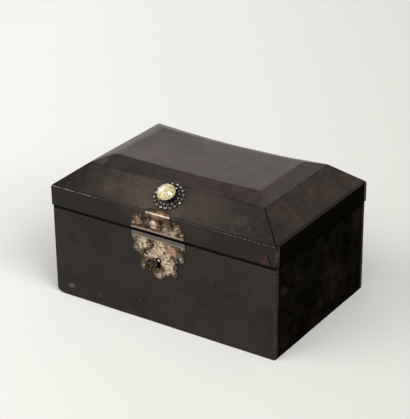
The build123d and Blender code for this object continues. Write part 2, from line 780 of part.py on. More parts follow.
hinge_parts = {}
hinge_pins = []
lower_hinge_screws = []
upper_hinge_screws = []
for name, middle in (("left", -hinge_x), ("right", hinge_x)):
    x = middle - hinge_length / 2
    end = x + hinge_length
    first = (0.0, barrel_length)
    second = (barrel_length + barrel_gap, 2 * barrel_length + barrel_gap)
    third = (hinge_length - barrel_length, hinge_length)
    lower_plate = box_between((x, leaf_inside, joint_height - leaf_thickness), (end, leaf_edge, joint_height))
    upper_plate = box_between((x, leaf_inside, joint_height), (end, leaf_edge, joint_height + leaf_thickness))
    lower = lower_plate
    for span in (first, third):
        web = box_between(
            (x + span[0], leaf_edge - 1, joint_height - leaf_thickness),
            (x + span[1], web_end, joint_height),
        )
        lower += web + barrel(x, *span) + stop_block(x, *span)
    upper = upper_plate + barrel(x, *second)
    upper += box_between(
        (x + second[0], leaf_edge - 1, joint_height),
        (x + second[1], web_end, joint_height + leaf_thickness),
    )
    lower -= pin_hole(x)
    upper -= pin_hole(x)
    back_board -= lower_plate
    lid_wood["lid_back_rail"] -= upper_plate
    notch_low = joint_height - leaf_thickness
    notch_high = joint_height + leaf_thickness
    back_leather -= box_between((x, half_depth - 2 * leather, notch_low), (end, half_depth + 1, joint_height))
    lid_sheets["back"] -= box_between((x, lid_y - 2 * leather, joint_height), (end, lid_y + 1, notch_high))
    pin_start = (x, axis_y, joint_height)
    pin_end = (end, axis_y, joint_height)
    hinge_pins.append(cylinder_between(pin_start, pin_end, hinge_pin_radius))
    for i in range(leaf_screws):
        spot_x = x + hinge_length * (i + 0.5) / leaf_screws
        spot_y = (leaf_inside + wood_y) / 2
        low_spot = (spot_x, spot_y, joint_height)
        lower_hinge_screws.append(wood_screw(low_spot, (0, 0, -1)))
        upper_hinge_screws.append(wood_screw(low_spot, (0, 0, 1)))
        low_cut = wood_screw(low_spot, (0, 0, -1), fit)
        high_cut = wood_screw(low_spot, (0, 0, 1), fit)
        lower -= low_cut
        back_board -= low_cut
        upper -= high_cut
        lid_wood["lid_back_rail"] -= high_cut
    hinge_parts[f"{name}_hinge_lower_leaf"] = lower
    hinge_parts[f"{name}_hinge_upper_leaf"] = upper

# Jewelled boss, drawn flat and then laid on the front slope
jewel_origin = fold_point + slope_up * jewel_up_slope + Vector(jewel_x, 0, 0)
jewel_plane = Plane(origin=jewel_origin, x_dir=(1, 0, 0), z_dir=slope_normal)


def disc(radius, low, high):
    """A round plate between two levels."""
    return Pos(0, 0, (low + high) / 2) * Cylinder(radius, high - low)


def oval(radius):
    """An oval as high up the slope as a circle of the radius, and longer across it."""
    return Ellipse(radius * jewel_oval, radius)


def oval_disc(radius, low, high):
    """An oval plate between two levels."""
    return extrude(Pos(0, 0, low) * oval(radius), amount=high - low)


def on_oval(radius, angle, level=0.0):
    """The place on an oval at an angle, turned to face outwards there."""
    across = radius * jewel_oval
    facing = math.atan2(across * math.sin(angle), radius * math.cos(angle))
    place = Pos(across * math.cos(angle), radius * math.sin(angle), level)
    return place * Rot(0, 0, math.degrees(facing))


def faceted_stud(radius, height):
    """A small cut stud: a straight foot under a faceted top."""
    foot_height = height * stud_foot
    foot = extrude(RegularPolygon(radius, stud_sides), amount=foot_height)
    flank = math.atan2(radius * (1 - stud_table) * math.cos(math.pi / stud_sides), height - foot_height)
    base = Pos(0, 0, foot_height) * RegularPolygon(radius, stud_sides)
    return foot + extrude(base, amount=height - foot_height, taper=math.degrees(flank))


def stud_ring(count, ring, radius, height, level):
    """Studs in an oval ring, each a separate solid."""
    studs = []
    for i in range(count):
        place = on_oval(ring, 2 * math.pi * i / count, level)
        studs.append(jewel_plane.location * (place * faceted_stud(radius, height)))
    return studs


def ring_points(radius, level, count, start=0.0):
    """Points round an oval ring at a level."""
    return [on_oval(radius, 2 * math.pi * i / count + start, level).position for i in range(count)]


def brilliant(radius, girdle, crown, pavilion, table):
    """A faceted stone: an eight-sided table, a crown of stars and kites, a girdle and a pavilion."""
    low = ring_points(radius, 0, 16)
    high = ring_points(radius, girdle, 16)
    flat = ring_points(radius * table, girdle + crown, 8, math.pi / 16)
    culet = Vector(0, 0, -pavilion)
    faces = [Face(Wire.make_polygon(flat, close=True))]
    for i in range(16):
        j = (i + 1) % 16
        faces.append(Face(Wire.make_polygon([low[i], low[j], culet], close=True)))
        faces.append(Face(Wire.make_polygon([low[i], low[j], high[j], high[i]], close=True)))
    for i in range(8):
        j = (i + 1) % 8
        here = flat[i]
        after = flat[j]
        a = high[2 * i]
        b = high[2 * i + 1]
        c = high[(2 * i + 2) % 16]
        faces.append(Face(Wire.make_polygon([a, b, here], close=True)))
        faces.append(Face(Wire.make_polygon([b, c, here], close=True)))
        faces.append(Face(Wire.make_polygon([c, after, here], close=True)))
    return Solid(Shell(faces))


plate_top = jewel_plate_thickness
step_top = plate_top + jewel_step
backing = oval_disc(jewel_plate_radius, 0, plate_top) + oval_disc(jewel_step_radius, plate_top, step_top)
post_length = leather + lid_board + lining + nut_thickness
backing += disc(post_radius, -post_length, 0)
jewel_backplate = jewel_plane.location * backing
jewel_outer_studs = stud_ring(outer_stud_count, outer_stud_ring, outer_stud_radius, outer_stud_height, plate_top)
jewel_inner_studs = stud_ring(inner_stud_count, inner_stud_ring, inner_stud_radius, inner_stud_height, step_top)

cup_rim = step_top + setting_height
cup_outer = loft([
    Pos(0, 0, step_top) * oval(setting_foot_radius),
    Pos(0, 0, cup_rim) * oval(setting_rim_radius),
])
crown_high = cup_rim + claw_height
cup_outer += oval_disc(setting_rim_radius, cup_rim, crown_high)
claw_space = Box(2 * setting_wall, claw_gap, 2 * claw_height)
for i in range(claw_count):
    cup_outer -= on_oval(setting_rim_radius, 2 * math.pi * (i + 0.5) / claw_count, crown_high) * claw_space
girdle_level = cup_rim
stone_seat = loft([
    Pos(0, 0, girdle_level - stone_pavilion - seat_gap) * oval(seat_hole),
    Pos(0, 0, girdle_level) * oval(stone_radius + fit),
])
cup_outer -= stone_seat
cup_outer -= oval_disc(stone_radius + fit, girdle_level, crown_high + 1)
jewel_setting = jewel_plane.location * cup_outer
stone = brilliant(stone_radius, stone_girdle, stone_crown, stone_pavilion, stone_table)
jewel_stone = jewel_plane.location * (Pos(0, 0, girdle_level) * stone)

nut_level = -(leather + lid_board)
nut = extrude(Pos(0, 0, nut_level) * RegularPolygon(nut_radius, nut_sides), amount=-nut_thickness)
nut -= disc(post_radius + fit, -post_length - 1, 0)
jewel_nut = jewel_plane.location * nut
post_cut = jewel_plane.location * disc(post_radius + fit, -post_length - 1, 1)
lid_sheets["front"] -= post_cut
lid_wood["lid_front_slope"] -= post_cut
lid_lining -= jewel_plane.location * disc(nut_radius + nut_gap, nut_level - 4 * lining, 0)

# Holes of the carcass nails
for nail in carcass_nails:
    front_board -= nail
    back_board -= nail
    left_board -= nail
    right_board -= nail
for nail in bottom_nails:
    bottom_board -= nail
    front_board -= nail
    back_board -= nail
    left_board -= nail
    right_board -= nail

nodes = {
    "bottom_board": bottom_board,
    "front_board": front_board,
    "back_board": back_board,
    "left_board": left_board,
    "right_board": right_board,
    "carcass_nails": group(carcass_nails),
    "bottom_nails": group(bottom_nails),
    "front_leather": front_leather,
    "back_leather": back_leather,
    "left_leather": left_leather,
    "right_leather": right_leather,
    "floor_lining": floor_lining,
    "front_lining": front_lining,
    "back_lining": back_lining,
    "left_lining": left_lining,
    "right_lining": right_lining,
    "lid_top_board": lid_top_board,
    "lid_front_leather": lid_sheets["front"],
    "lid_back_leather": lid_sheets["back"],
    "lid_left_leather": lid_sheets["left"],
    "lid_right_leather": lid_sheets["right"],
    "lid_top_leather": lid_top_leather,
    "lid_lining": lid_lining,
    "lid_plate": lid_plate,
    "lid_plate_nails": group(lid_plate_nails),
    "lock_escutcheon": lock_escutcheon,
    "escutcheon_nails": group(escutcheon_nails),
    "lock_backplate": lock_backplate,
    "lock_screws": group(lock_screws),
    "lock_guides": group(lock_guides),
    "lock_bolt": lock_bolt,
    "lock_pin": lock_pin,
    "lock_ward": lock_ward,
    "lock_spring": lock_spring,
    "lock_staple": lock_staple,
    "staple_screws": group(staple_screws),
    "hinge_pins": group(hinge_pins),
    "lower_hinge_screws": group(lower_hinge_screws),
    "upper_hinge_screws": group(upper_hinge_screws),
    "jewel_backplate": jewel_backplate,
    "jewel_outer_studs": group(jewel_outer_studs),
    "jewel_inner_studs": group(jewel_inner_studs),
    "jewel_setting": jewel_setting,
    "jewel_stone": jewel_stone,
    "jewel_nut": jewel_nut,
}
nodes.update(lid_wood)
nodes.update(hinge_parts)

os.makedirs("parts", exist_ok=True)
for name, shape in nodes.items():
    export_step(shape, f"parts/{name}.step")
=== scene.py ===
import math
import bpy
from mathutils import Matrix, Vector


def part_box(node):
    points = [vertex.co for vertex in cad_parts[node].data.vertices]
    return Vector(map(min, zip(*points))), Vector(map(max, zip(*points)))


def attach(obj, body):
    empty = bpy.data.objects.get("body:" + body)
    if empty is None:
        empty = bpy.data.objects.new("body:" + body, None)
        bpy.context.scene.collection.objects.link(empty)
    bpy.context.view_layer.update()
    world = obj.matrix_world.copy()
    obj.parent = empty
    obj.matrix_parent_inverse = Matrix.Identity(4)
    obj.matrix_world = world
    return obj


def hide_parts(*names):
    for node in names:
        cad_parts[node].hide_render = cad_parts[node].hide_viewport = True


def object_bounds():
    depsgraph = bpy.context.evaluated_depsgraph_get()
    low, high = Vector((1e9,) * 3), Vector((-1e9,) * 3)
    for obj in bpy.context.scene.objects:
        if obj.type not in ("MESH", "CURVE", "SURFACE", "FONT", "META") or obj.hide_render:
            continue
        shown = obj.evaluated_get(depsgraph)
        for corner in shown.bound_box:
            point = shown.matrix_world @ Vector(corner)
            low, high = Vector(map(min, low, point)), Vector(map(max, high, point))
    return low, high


bl_info = {
    "name": "Leather casket",
    "version": (1, 0, 0),
    "blender": (4, 5, 0),
    "location": "3D View > Sidebar > Casket",
    "description": "Dresses the casket's packed frame in leather, silvered plates and a jewelled boss",
    "category": "Object",
}

import bmesh
import bpy
from mathutils import Euler, Matrix, Vector, noise

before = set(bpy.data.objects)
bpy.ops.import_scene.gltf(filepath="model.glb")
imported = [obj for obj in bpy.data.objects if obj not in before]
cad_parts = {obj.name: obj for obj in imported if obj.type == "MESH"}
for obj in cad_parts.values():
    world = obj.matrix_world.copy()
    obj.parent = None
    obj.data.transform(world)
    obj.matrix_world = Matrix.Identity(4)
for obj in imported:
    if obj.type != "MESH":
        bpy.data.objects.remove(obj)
cad_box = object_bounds()

# Blender works in metres
MM = 0.001
body_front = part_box("front_leather")
lid_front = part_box("lid_front_leather")
left_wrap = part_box("left_leather")


def colour(code):
    """An sRGB hex colour as the linear values that a shader takes."""
    parts = [int(code[i:i + 2], 16) / 255 for i in (1, 3, 5)]
    linear = [p / 12.92 if p <= 0.04045 else ((p + 0.055) / 1.055) ** 2.4 for p in parts]
    return (*linear, 1.0)


def per_metre(size_mm):
    """A texture's scale for features of that size in millimetres."""
    return 1000.0 / size_mm


def length(name, description, default):
    """A size in metres for a property group."""
    return bpy.props.FloatProperty(
        name=name,
        description=description,
        default=default,
        unit="LENGTH",
        subtype="DISTANCE",
        precision=4,
    )


def plain_number(name, description, default):
    """A plain number for a property group."""
    return bpy.props.FloatProperty(name=name, description=description, default=default)


def degrees(name, description, default):
    """An angle for a property group, given in degrees."""
    return bpy.props.FloatProperty(
        name=name, description=description, default=math.radians(default), subtype="ANGLE",
    )


def whole_number(name, description, default):
    """A number of like parts for a property group."""
    return bpy.props.IntProperty(name=name, description=description, default=default)


def tint(name, description, code):
    """A colour for a property group."""
    return bpy.props.FloatVectorProperty(
        name=name,
        description=description,
        default=colour(code),
        size=4,
        min=0.0,
        max=1.0,
        subtype="COLOR",
    )


class CasketCoverSizes(bpy.types.PropertyGroup):
    """Sizes of the leather on the body and the lid."""

    wall: length("Wall", "Thickness of the leather, a little under the space that it has", 1.15 * MM)
    turned: length("Turned", "How far the lid's front and back sheets turn its corners", 5.0 * MM)
    fold: length("Fold", "Height of the top edge of the lid's skirt", 114.8 * MM)
    crease: length("Crease", "Height of the crease between the slopes and the upper bevels", 136.1 * MM)
    crease_x: length("Crease half length", "Half length of the lid at the crease", 97.4 * MM)
    crease_y: length("Crease half depth", "Half depth of the lid at the crease", 57.4 * MM)
    flat_x: length("Flat half length", "Half length of the lid's flat", 81.4 * MM)
    flat_y: length("Flat half depth", "Half depth of the lid's flat", 38.8 * MM)
    corner: length("Corner rounding", "Rounding of the upright corners", 1.6 * MM)
    softness: length("Fold softness", "Rounding of the lid's folds, hips and creases", 1.3 * MM)
    left_fold: length("Left fold", "Rounding of the flat's left edge", 6.0 * MM)
    hem: length("Hem rounding", "Rounding along the cut edges of each sheet", 0.35 * MM)
    key_x: length("Keyhole across", "Place of the keyhole along the front", -1.0 * MM)
    key_low: length("Keyhole low", "Height of the foot of the keyhole's clearance", 58.0 * MM)
    key_high: length("Keyhole high", "Height of the top of the keyhole's clearance", 71.6 * MM)
    key_half: length("Keyhole half width", "Half the width of the keyhole's clearance", 3.3 * MM)
    grid: length("Grid", "Spacing of the points that carry the unevenness", 4.0 * MM)
    unevenness: length("Unevenness", "How far the boards' waves lift and sink the leather", 0.22 * MM)
    dish_front: length("Dish at the front", "How far the flat's front edge has sunk", 0.6 * MM)
    dish_back: length("Dish at the back", "How far the flat's back edge has sunk", 2.0 * MM)
    sag_crease: length("Sag of the crease", "How far the back crease hangs in its middle", 3.6 * MM)
    sag_fold: length("Sag of the fold", "How far the back fold hangs in its middle", 0.3 * MM)
    worn_front: length("Worn along the front", "Reach of the worn left foot along the front", 6.4 * MM)
    worn_end: length("Worn along the end", "Reach of the worn left foot along the end", 3.6 * MM)
    worn_up: length("Worn up", "Reach of the worn left foot upwards", 3.6 * MM)


class CasketMetalSizes(bpy.types.PropertyGroup):
    """Sizes of the lock plates, nails and hinges."""

    plate_edge: length("Plate edge", "Rounding of the plates' worn edges", 0.3 * MM)
    shield_rise: length("Shield rise", "Reach of the lower plate into the joint", 1.2 * MM)
    hinge_edge: length("Hinge edge", "Rounding of the hinges' edges", 0.2 * MM)
    head_radius: length("Nail head radius", "Radius of the dome-headed nails", 1.5 * MM)
    head_height: length("Nail head height", "Height of the dome-headed nails", 1.05 * MM)


class CasketJewelSizes(bpy.types.PropertyGroup):
    """Sizes of the jewelled boss."""

    across: length("Across", "Place of the boss along the front", 1.2 * MM)
    up_slope: length("Up the slope", "Place of the boss above the fold, along the slope", 21.0 * MM)
    oval: plain_number("Oval", "Length of the boss over its height", 1.12)
    plate_top: length("Plate top", "Thickness of the oval backplate", 1.0 * MM)
    step_top: length("Step top", "Height of the backplate's step", 1.8 * MM)
    plate_edge: length("Backplate edge", "Rounding of the backplate's edges", 0.2 * MM)
    outer_ring: length("Outer ring", "Radius of the outer row of studs", 12.9 * MM)
    outer_stud: length("Outer stud", "Radius of a stud of the outer row", 1.95 * MM)
    outer_height: length("Outer stud height", "Height of a stud of the outer row", 1.9 * MM)
    inner_ring: length("Inner ring", "Radius of the inner row of studs", 9.4 * MM)
    inner_stud: length("Inner stud", "Radius of a stud of the inner row", 1.6 * MM)
    inner_height: length("Inner stud height", "Height of a stud of the inner row", 1.7 * MM)
    foot: length("Setting foot", "Radius of the setting at its foot", 6.0 * MM)
    rim: length("Setting rim", "Radius of the setting at its rim", 8.3 * MM)
    rim_height: length("Rim height", "Height of the setting's rim over the backplate's step", 6.6 * MM)
    stone: length("Stone", "Radius of the stone", 7.3 * MM)
    claw_foot: length("Claw foot", "Radius of a claw at its foot", 0.6 * MM)
    claw_tip: length("Claw tip", "Radius of a claw at its tip", 0.35 * MM)
    claw_length: length("Claw length", "Length of a claw", 2.2 * MM)
    claw_lean: degrees("Claw lean", "Lean of the claws over the stone", 24.0)
    outer_count: whole_number("Outer studs", "Studs in the outer row", 18)
    inner_count: whole_number("Inner studs", "Studs in the inner row", 16)
    claws: whole_number("Claws", "Claws round the stone", 20)


class CasketColours(bpy.types.PropertyGroup):
    """Colours of the casket's finishes."""

    leather_black: tint("Leather, black", "Leather where the black dye is whole", "#0b0907")
    # the ends' tone is partly darker leather and partly painted shade, taken from the shaded right end
    # and given to both ends
    leather_ends_dark_and_shaded: tint("Leather, ends", "Usual tone of the two ends", "#090805")
    leather_body: tint("Leather, body", "Usual tone of the body's front and back", "#2d2926")
    leather_lid: tint("Leather, lid", "Usual tone of the lid's slopes, faded browner", "#2c2621")
    leather_crown: tint("Leather, crown", "Usual tone of the lid's flat", "#372826")
    leather_faded: tint("Leather, faded", "Browner clouds on the lid's slopes", "#473d36")
    # leather_pale also draws a painted highlight, the thin line just under the body's rim
    leather_pale: tint("Leather, pale", "Leather where the dye has rubbed off", "#53483f")
    # scuff also draws a painted sheen on the lid's left bevel
    scuff: tint("Scuff", "Greyish scrapes low on the front", "#75706a")
    leather_rust: tint("Leather, rust", "Raw reddish leather where the face has torn", "#5a3026")
    # gilt also stands for a painted highlight along the lid's fold
    gilt_and_highlight: tint("Fillet", "What is left of the tooled double line", "#9c958a")
    silver: tint("Silver", "Silvered face of the plates", "#e6cdb4")
    brass: tint("Brass", "Brass that shows where the silver has gone", "#8a735d")
    tarnish: tint("Tarnish", "Brown tarnish of the plates", "#473c32")
    pit: tint("Pits", "Black pits and dirt in the plates", "#16110d")
    steel: tint("Cut steel", "Dark steel of the studs", "#8c8882")
    # joint is the black of the seams and tears, and also the painted shade of the gap under the lid and
    # along the skirt's lowest edge
    joint: tint("Joint", "Old black wax in the joint under the lid and in the seams", "#080706")
    stone: tint("Stone", "Body colour of the pale yellow stone", "#b5a66c")
    stone_pale: tint("Stone, pale", "Rays of the stone", "#f3ecc9")
    stone_deep: tint("Stone, deep", "Olive middle of the stone", "#857842")
    wood: tint("Wood", "Bare boards", "#9b7650")
    paper: tint("Paper", "Paper lining", "#8d6f62")
    floor: tint("Floor", "Pale floor that the casket stands on", "#f5f4ef")
    # the greyer floor colour is painted shade, where the light falls off
    floor_painted_shade: tint("Floor, grey", "Floor where it is greyer, near the camera", "#d3d2cc")


class CasketStage(bpy.types.PropertyGroup):
    """The camera and the lamps."""

    lens: plain_number("Lens", "Focal length in mm on a 36 mm sensor", 130.79)
    azimuth: degrees("Azimuth", "Turn of the camera to the right of the front", 33.48)
    elevation: degrees("Elevation", "Height of the camera above the horizon", 25.36)
    roll: degrees("Roll", "Tilt of the picture", -0.55)
    distance: length("Distance", "From the camera to the point it looks at", 1471.3 * MM)
    aim: bpy.props.FloatVectorProperty(
        name="Aim", description="Point that the camera looks at",
        default=(-4.76 * MM, 0.0, 85.93 * MM), subtype="TRANSLATION", unit="LENGTH",
    )
    key: plain_number("Key", "Power of the light at the front left, in W", 165.0)
    side: plain_number("Side", "Power of the light at the right, in W", 225.0)
    top: plain_number("Top", "Power of the light above the front, in W", 118.0)
    glint: plain_number("Glint", "Power of the small lamp that metal shows, in W", 2.0)
    room: plain_number("Room", "Strength of the light from all round", 0.33)
    backdrop: plain_number("Backdrop", "Brightness of the low backdrop that gloss shows", 1.0)
    dusk: plain_number("Dusk", "Brightness of the room above the backdrop that gloss shows", 0.12)


# a Map Range node's settings for a mask without a hard start or end
SMOOTH = {"interpolation_type": "SMOOTHSTEP"}


def add(tree, kind, settings=(), values=(), links=(), stops=()):
    """Adds a node.

    settings are its own fields, values its sockets' numbers, links what feeds its sockets, and stops
    the colours of a ramp.
    """
    made = tree.nodes.new(kind)
    for field, value in dict(settings).items():
        setattr(made, field, value)
    for socket, value in dict(values).items():
        made.inputs[socket].default_value = value
    for socket, source in dict(links).items():
        tree.links.new(source, made.inputs[socket])
    for place, (position, value) in enumerate(stops):
        if place < len(made.color_ramp.elements):
            made.color_ramp.elements[place].position = position
        else:
            made.color_ramp.elements.new(position)
        made.color_ramp.elements[place].color = value
    return made


def surface(name, tone, metallic=0.0):
    """A new material of one colour: its tree, its shader and the coordinates that its patterns read."""
    material = bpy.data.materials.new(name)
    material.use_nodes = True
    tree = material.node_tree
    tree.nodes.clear()
    shader = add(tree, "ShaderNodeBsdfPrincipled", values={"Base Color": tone, "Metallic": metallic})
    add(tree, "ShaderNodeOutputMaterial", links={"Surface": shader.outputs["BSDF"]})
    where = add(tree, "ShaderNodeTexCoord").outputs["Object"]
    return material, tree, shader, where


def speckle(tree, where, size_mm, detail, roughness, low, high):
    """Soft noise of a size, stretched to run from 0 to 1 between two levels."""
    grain = add(
        tree, "ShaderNodeTexNoise", links={"Vector": where},
        values={"Scale": per_metre(size_mm), "Detail": detail, "Roughness": roughness},
    )
    spread = add(
        tree, "ShaderNodeMapRange",
        values={"From Min": low, "From Max": high}, links={"Value": grain.outputs["Fac"]},
    )
    return spread.outputs["Result"]


def near(tree, where, centre_mm, inner_mm, outer_mm):
    """A mask that is 1 within a distance of a point and fades to 0 at another."""
    away = add(
        tree, "ShaderNodeVectorMath", {"operation": "DISTANCE"},
        values={1: [c * MM for c in centre_mm]}, links={0: where},
    )
    fade = add(
        tree, "ShaderNodeMapRange", SMOOTH,
        values={"From Min": inner_mm * MM, "From Max": outer_mm * MM, "To Min": 1.0, "To Max": 0.0},
        links={"Value": away.outputs["Value"]},
    )
    return fade.outputs["Result"]


def line(tree, value, place, half_width, soft):
    """A mask that is 1 where a value is within half a width of a place, with soft edges."""
    away = add(tree, "ShaderNodeMath", {"operation": "SUBTRACT"}, values={1: place}, links={0: value})
    size = add(tree, "ShaderNodeMath", {"operation": "ABSOLUTE"}, links={0: away.outputs[0]})
    fade = add(
        tree, "ShaderNodeMapRange", SMOOTH,
        values={"From Min": half_width, "From Max": half_width + soft, "To Min": 1.0, "To Max": 0.0},
        links={"Value": size.outputs[0]},
    )
    return fade.outputs["Result"]


def split(tree, where):
    """A place's parts along the axes, and its distances from the two upright middle planes."""
    axes = add(tree, "ShaderNodeSeparateXYZ", links={0: where}).outputs
    out_x = add(tree, "ShaderNodeMath", {"operation": "ABSOLUTE"}, links={0: axes["X"]}).outputs[0]
    out_y = add(tree, "ShaderNodeMath", {"operation": "ABSOLUTE"}, links={0: axes["Y"]}).outputs[0]
    return axes, out_x, out_y


def coat(tree, shader, tone, *masks):
    """Lays a colour over what a surface has so far. The product of the masks says how much of it shows.

    A mask is a socket, a plain share, or (value, start, end), which rises softly from start to end.
    """
    shown = None
    for mask in masks:
        if isinstance(mask, tuple):
            value, start, end = mask
            mask = add(
                tree, "ShaderNodeMapRange", SMOOTH,
                values={"From Min": start, "From Max": end}, links={"Value": value},
            ).outputs["Result"]
        if shown is None:
            shown = mask
            continue
        product = add(tree, "ShaderNodeMath", {"operation": "MULTIPLY"}, links={0: shown})
        if isinstance(mask, (int, float)):
            product.inputs[1].default_value = mask
        else:
            tree.links.new(mask, product.inputs[1])
        shown = product.outputs[0]
    face = shader.inputs["Base Color"]
    over = add(
        tree, "ShaderNodeMix", {"data_type": "RGBA", "clamp_factor": True},
        values={6: face.default_value, 7: tone}, links={0: shown},
    )
    if face.is_linked:
        tree.links.new(face.links[0].from_socket, over.inputs[6])
    tree.links.new(over.outputs[2], face)


def leather(name, dark, tone, pale, cloudy, sheen, roughness):
    """Blackened goatskin: clouds of fading, specks where the dye is rubbed, and a pebbled grain."""
    material, tree, shader, where = surface(name, tone)
    shader.inputs["Specular IOR Level"].default_value = sheen
    clouds = speckle(tree, where, 36.0, 3.0, 0.5, 0.26, 0.74)
    patches = speckle(tree, where, 10.0, 2.5, 0.5, 0.22, 0.78)
    # the real grain is about 0.4 mm, finer than a pixel, so its speckle is drawn at 1.6 mm
    specks = speckle(tree, where, 1.6, 3.0, 0.7, 0.38, 0.62)
    mixed = add(
        tree, "ShaderNodeMath", {"operation": "MULTIPLY"}, values={1: cloudy}, links={0: clouds},
    )
    for grain, share in ((patches, 0.35), (specks, 0.65 - cloudy)):
        mixed = add(
            tree, "ShaderNodeMath", {"operation": "MULTIPLY_ADD"},
            values={1: share}, links={0: grain, 2: mixed.outputs[0]},
        )
    face = add(
        tree, "ShaderNodeValToRGB",
        links={0: mixed.outputs[0]}, stops=((0.1, dark), (0.5, tone), (0.9, pale)),
    )
    tree.links.new(face.outputs["Color"], shader.inputs["Base Color"])
    gloss = add(
        tree, "ShaderNodeMapRange",
        values={"To Min": roughness - 0.07, "To Max": roughness + 0.1}, links={"Value": patches},
    )
    tree.links.new(gloss.outputs["Result"], shader.inputs["Roughness"])
    # pebbles of about 1 mm with a finer wrinkle over them, drawn coarser than the real ones so as to show
    pebbles = add(
        tree, "ShaderNodeTexVoronoi", {"feature": "DISTANCE_TO_EDGE"},
        values={"Scale": per_metre(1.1)}, links={"Vector": where},
    )
    wrinkle = add(
        tree, "ShaderNodeTexNoise",
        values={"Scale": per_metre(0.8), "Detail": 3.0, "Roughness": 0.6}, links={"Vector": where},
    )
    height = add(
        tree, "ShaderNodeMath", {"operation": "MULTIPLY_ADD"},
        values={1: 0.6}, links={0: pebbles.outputs["Distance"], 2: wrinkle.outputs["Fac"]},
    )
    bump = add(
        tree, "ShaderNodeBump",
        values={"Strength": 0.35, "Distance": 0.25 * MM}, links={"Height": height.outputs[0]},
    )
    tree.links.new(bump.outputs["Normal"], shader.inputs["Normal"])
    return material, tree, shader, where


def body_leather(name, colours, ends):
    """The body's leather: worn hems and corners, stitched seams at the corners and a few old scuffs."""
    # the ends get their own darker copy of the leather, with no gloss: darker leather and painted shade
    if ends:
        dark, tone, pale, sheen = colour("#050403"), colours.leather_ends_dark_and_shaded, colour("#1f1b15"), 0.0
    else:
        dark, tone, pale, sheen = colour("#241f1d"), colours.leather_body, colour("#36312c"), 0.05
    material, tree, shader, where = leather(name, dark, tone, pale, 0.4, sheen, 0.6)
    axes, out_x, out_y = split(tree, where)
    up = axes["Z"]
    front = body_front[0].y
    right, top = body_front[1].x, body_front[1].z
    rubbed = speckle(tree, where, 3.2, 4.0, 0.75, 0.44, 0.6)
    broken = speckle(tree, where, 6.0, 3.0, 0.6, 0.46, 0.56)
    # the overlap round each corner is held by stitches, drawn one every 4 mm so that they show
    overlap = left_wrap[1].y
    stitch = add(
        tree, "ShaderNodeMath", {"operation": "PINGPONG"}, values={1: 2.0 * MM}, links={0: up},
    ).outputs[0]
    seam = line(tree, out_y, overlap, 0.4 * MM, 0.4 * MM)
    coat(tree, shader, colours.joint, seam, (stitch, 0.4 * MM, 0.8 * MM))
    # the strip folded round the corner onto the end is drawn halfway to the ends' tone, partly painted
    # shade; it stays greyer than the end
    coat(
        tree, shader, colours.leather_ends_dark_and_shaded,
        (out_y, overlap, overlap + 0.5 * MM), (out_x, right - 1.2 * MM, right - 0.4 * MM), 0.5,
    )
    # corners and hems are polished brown where hands and tables rub them, and raw low down
    corner = (
        line(tree, out_x, right, 0.5 * MM, 1.0 * MM),
        line(tree, out_y, -front, 0.5 * MM, 1.0 * MM),
    )
    coat(tree, shader, colours.leather_pale, *corner, rubbed, 0.45)
    coat(tree, shader, colours.scuff, *corner, (stitch, 1.2 * MM, 1.7 * MM), broken, 0.2)
    coat(tree, shader, colours.leather_rust, *corner, (up, 75 * MM, 5 * MM), broken, 0.8)
    foot = line(tree, up, 0.0, 0.6 * MM, 1.2 * MM)
    coat(tree, shader, colours.leather_pale, foot, rubbed, 0.3)
    # painted shade: the edge under the lid is drawn black, for the shadow in the gap of the joint, over
    # old wax
    coat(tree, shader, colours.joint, line(tree, up, top, 1.5 * MM, 0.5 * MM))
    if ends:
        stain = speckle(tree, where, 12.0, 5.0, 0.65, 0.5, 0.66)
        coat(tree, shader, colour("#241a14"), stain, (up, 90 * MM, 20 * MM), 0.2)
        # scuffs as (y, z, radius, strength), in mm
        for y, z, size, strength in ((-58, 40, 1.1, 0.8), (-71, 66, 7.0, 0.3), (-66, 64, 5.0, 0.25)):
            scuff = near(tree, where, (right / MM, y, z), size * 0.3, size)
            coat(tree, shader, colour("#33251d"), scuff, strength)
        return material
    # painted highlight: a thin broken pale line just under the rim, for light caught below the joint
    lip = line(tree, up, top - 2.6 * MM, 0.1 * MM, 0.4 * MM)
    coat(tree, shader, colours.leather_pale, lip, broken, 0.5)
    # scuffs as (x, z, radius, strength), in mm
    for x, z, size, strength in (
        (-108, 11.2, 3.2, 0.5), (-104.5, 12.0, 2.6, 0.5), (-73, 10.9, 1.2, 0.5), (-88, 12.8, 1.1, 0.3),
        (-25, 19, 1.2, 0.3), (13, 29, 1.4, 0.3), (57, 62, 1.2, 0.3),
    ):
        scuff = near(tree, where, (x, front / MM, z), size * 0.3, size)
        coat(tree, shader, colours.scuff, scuff, strength)
    return material


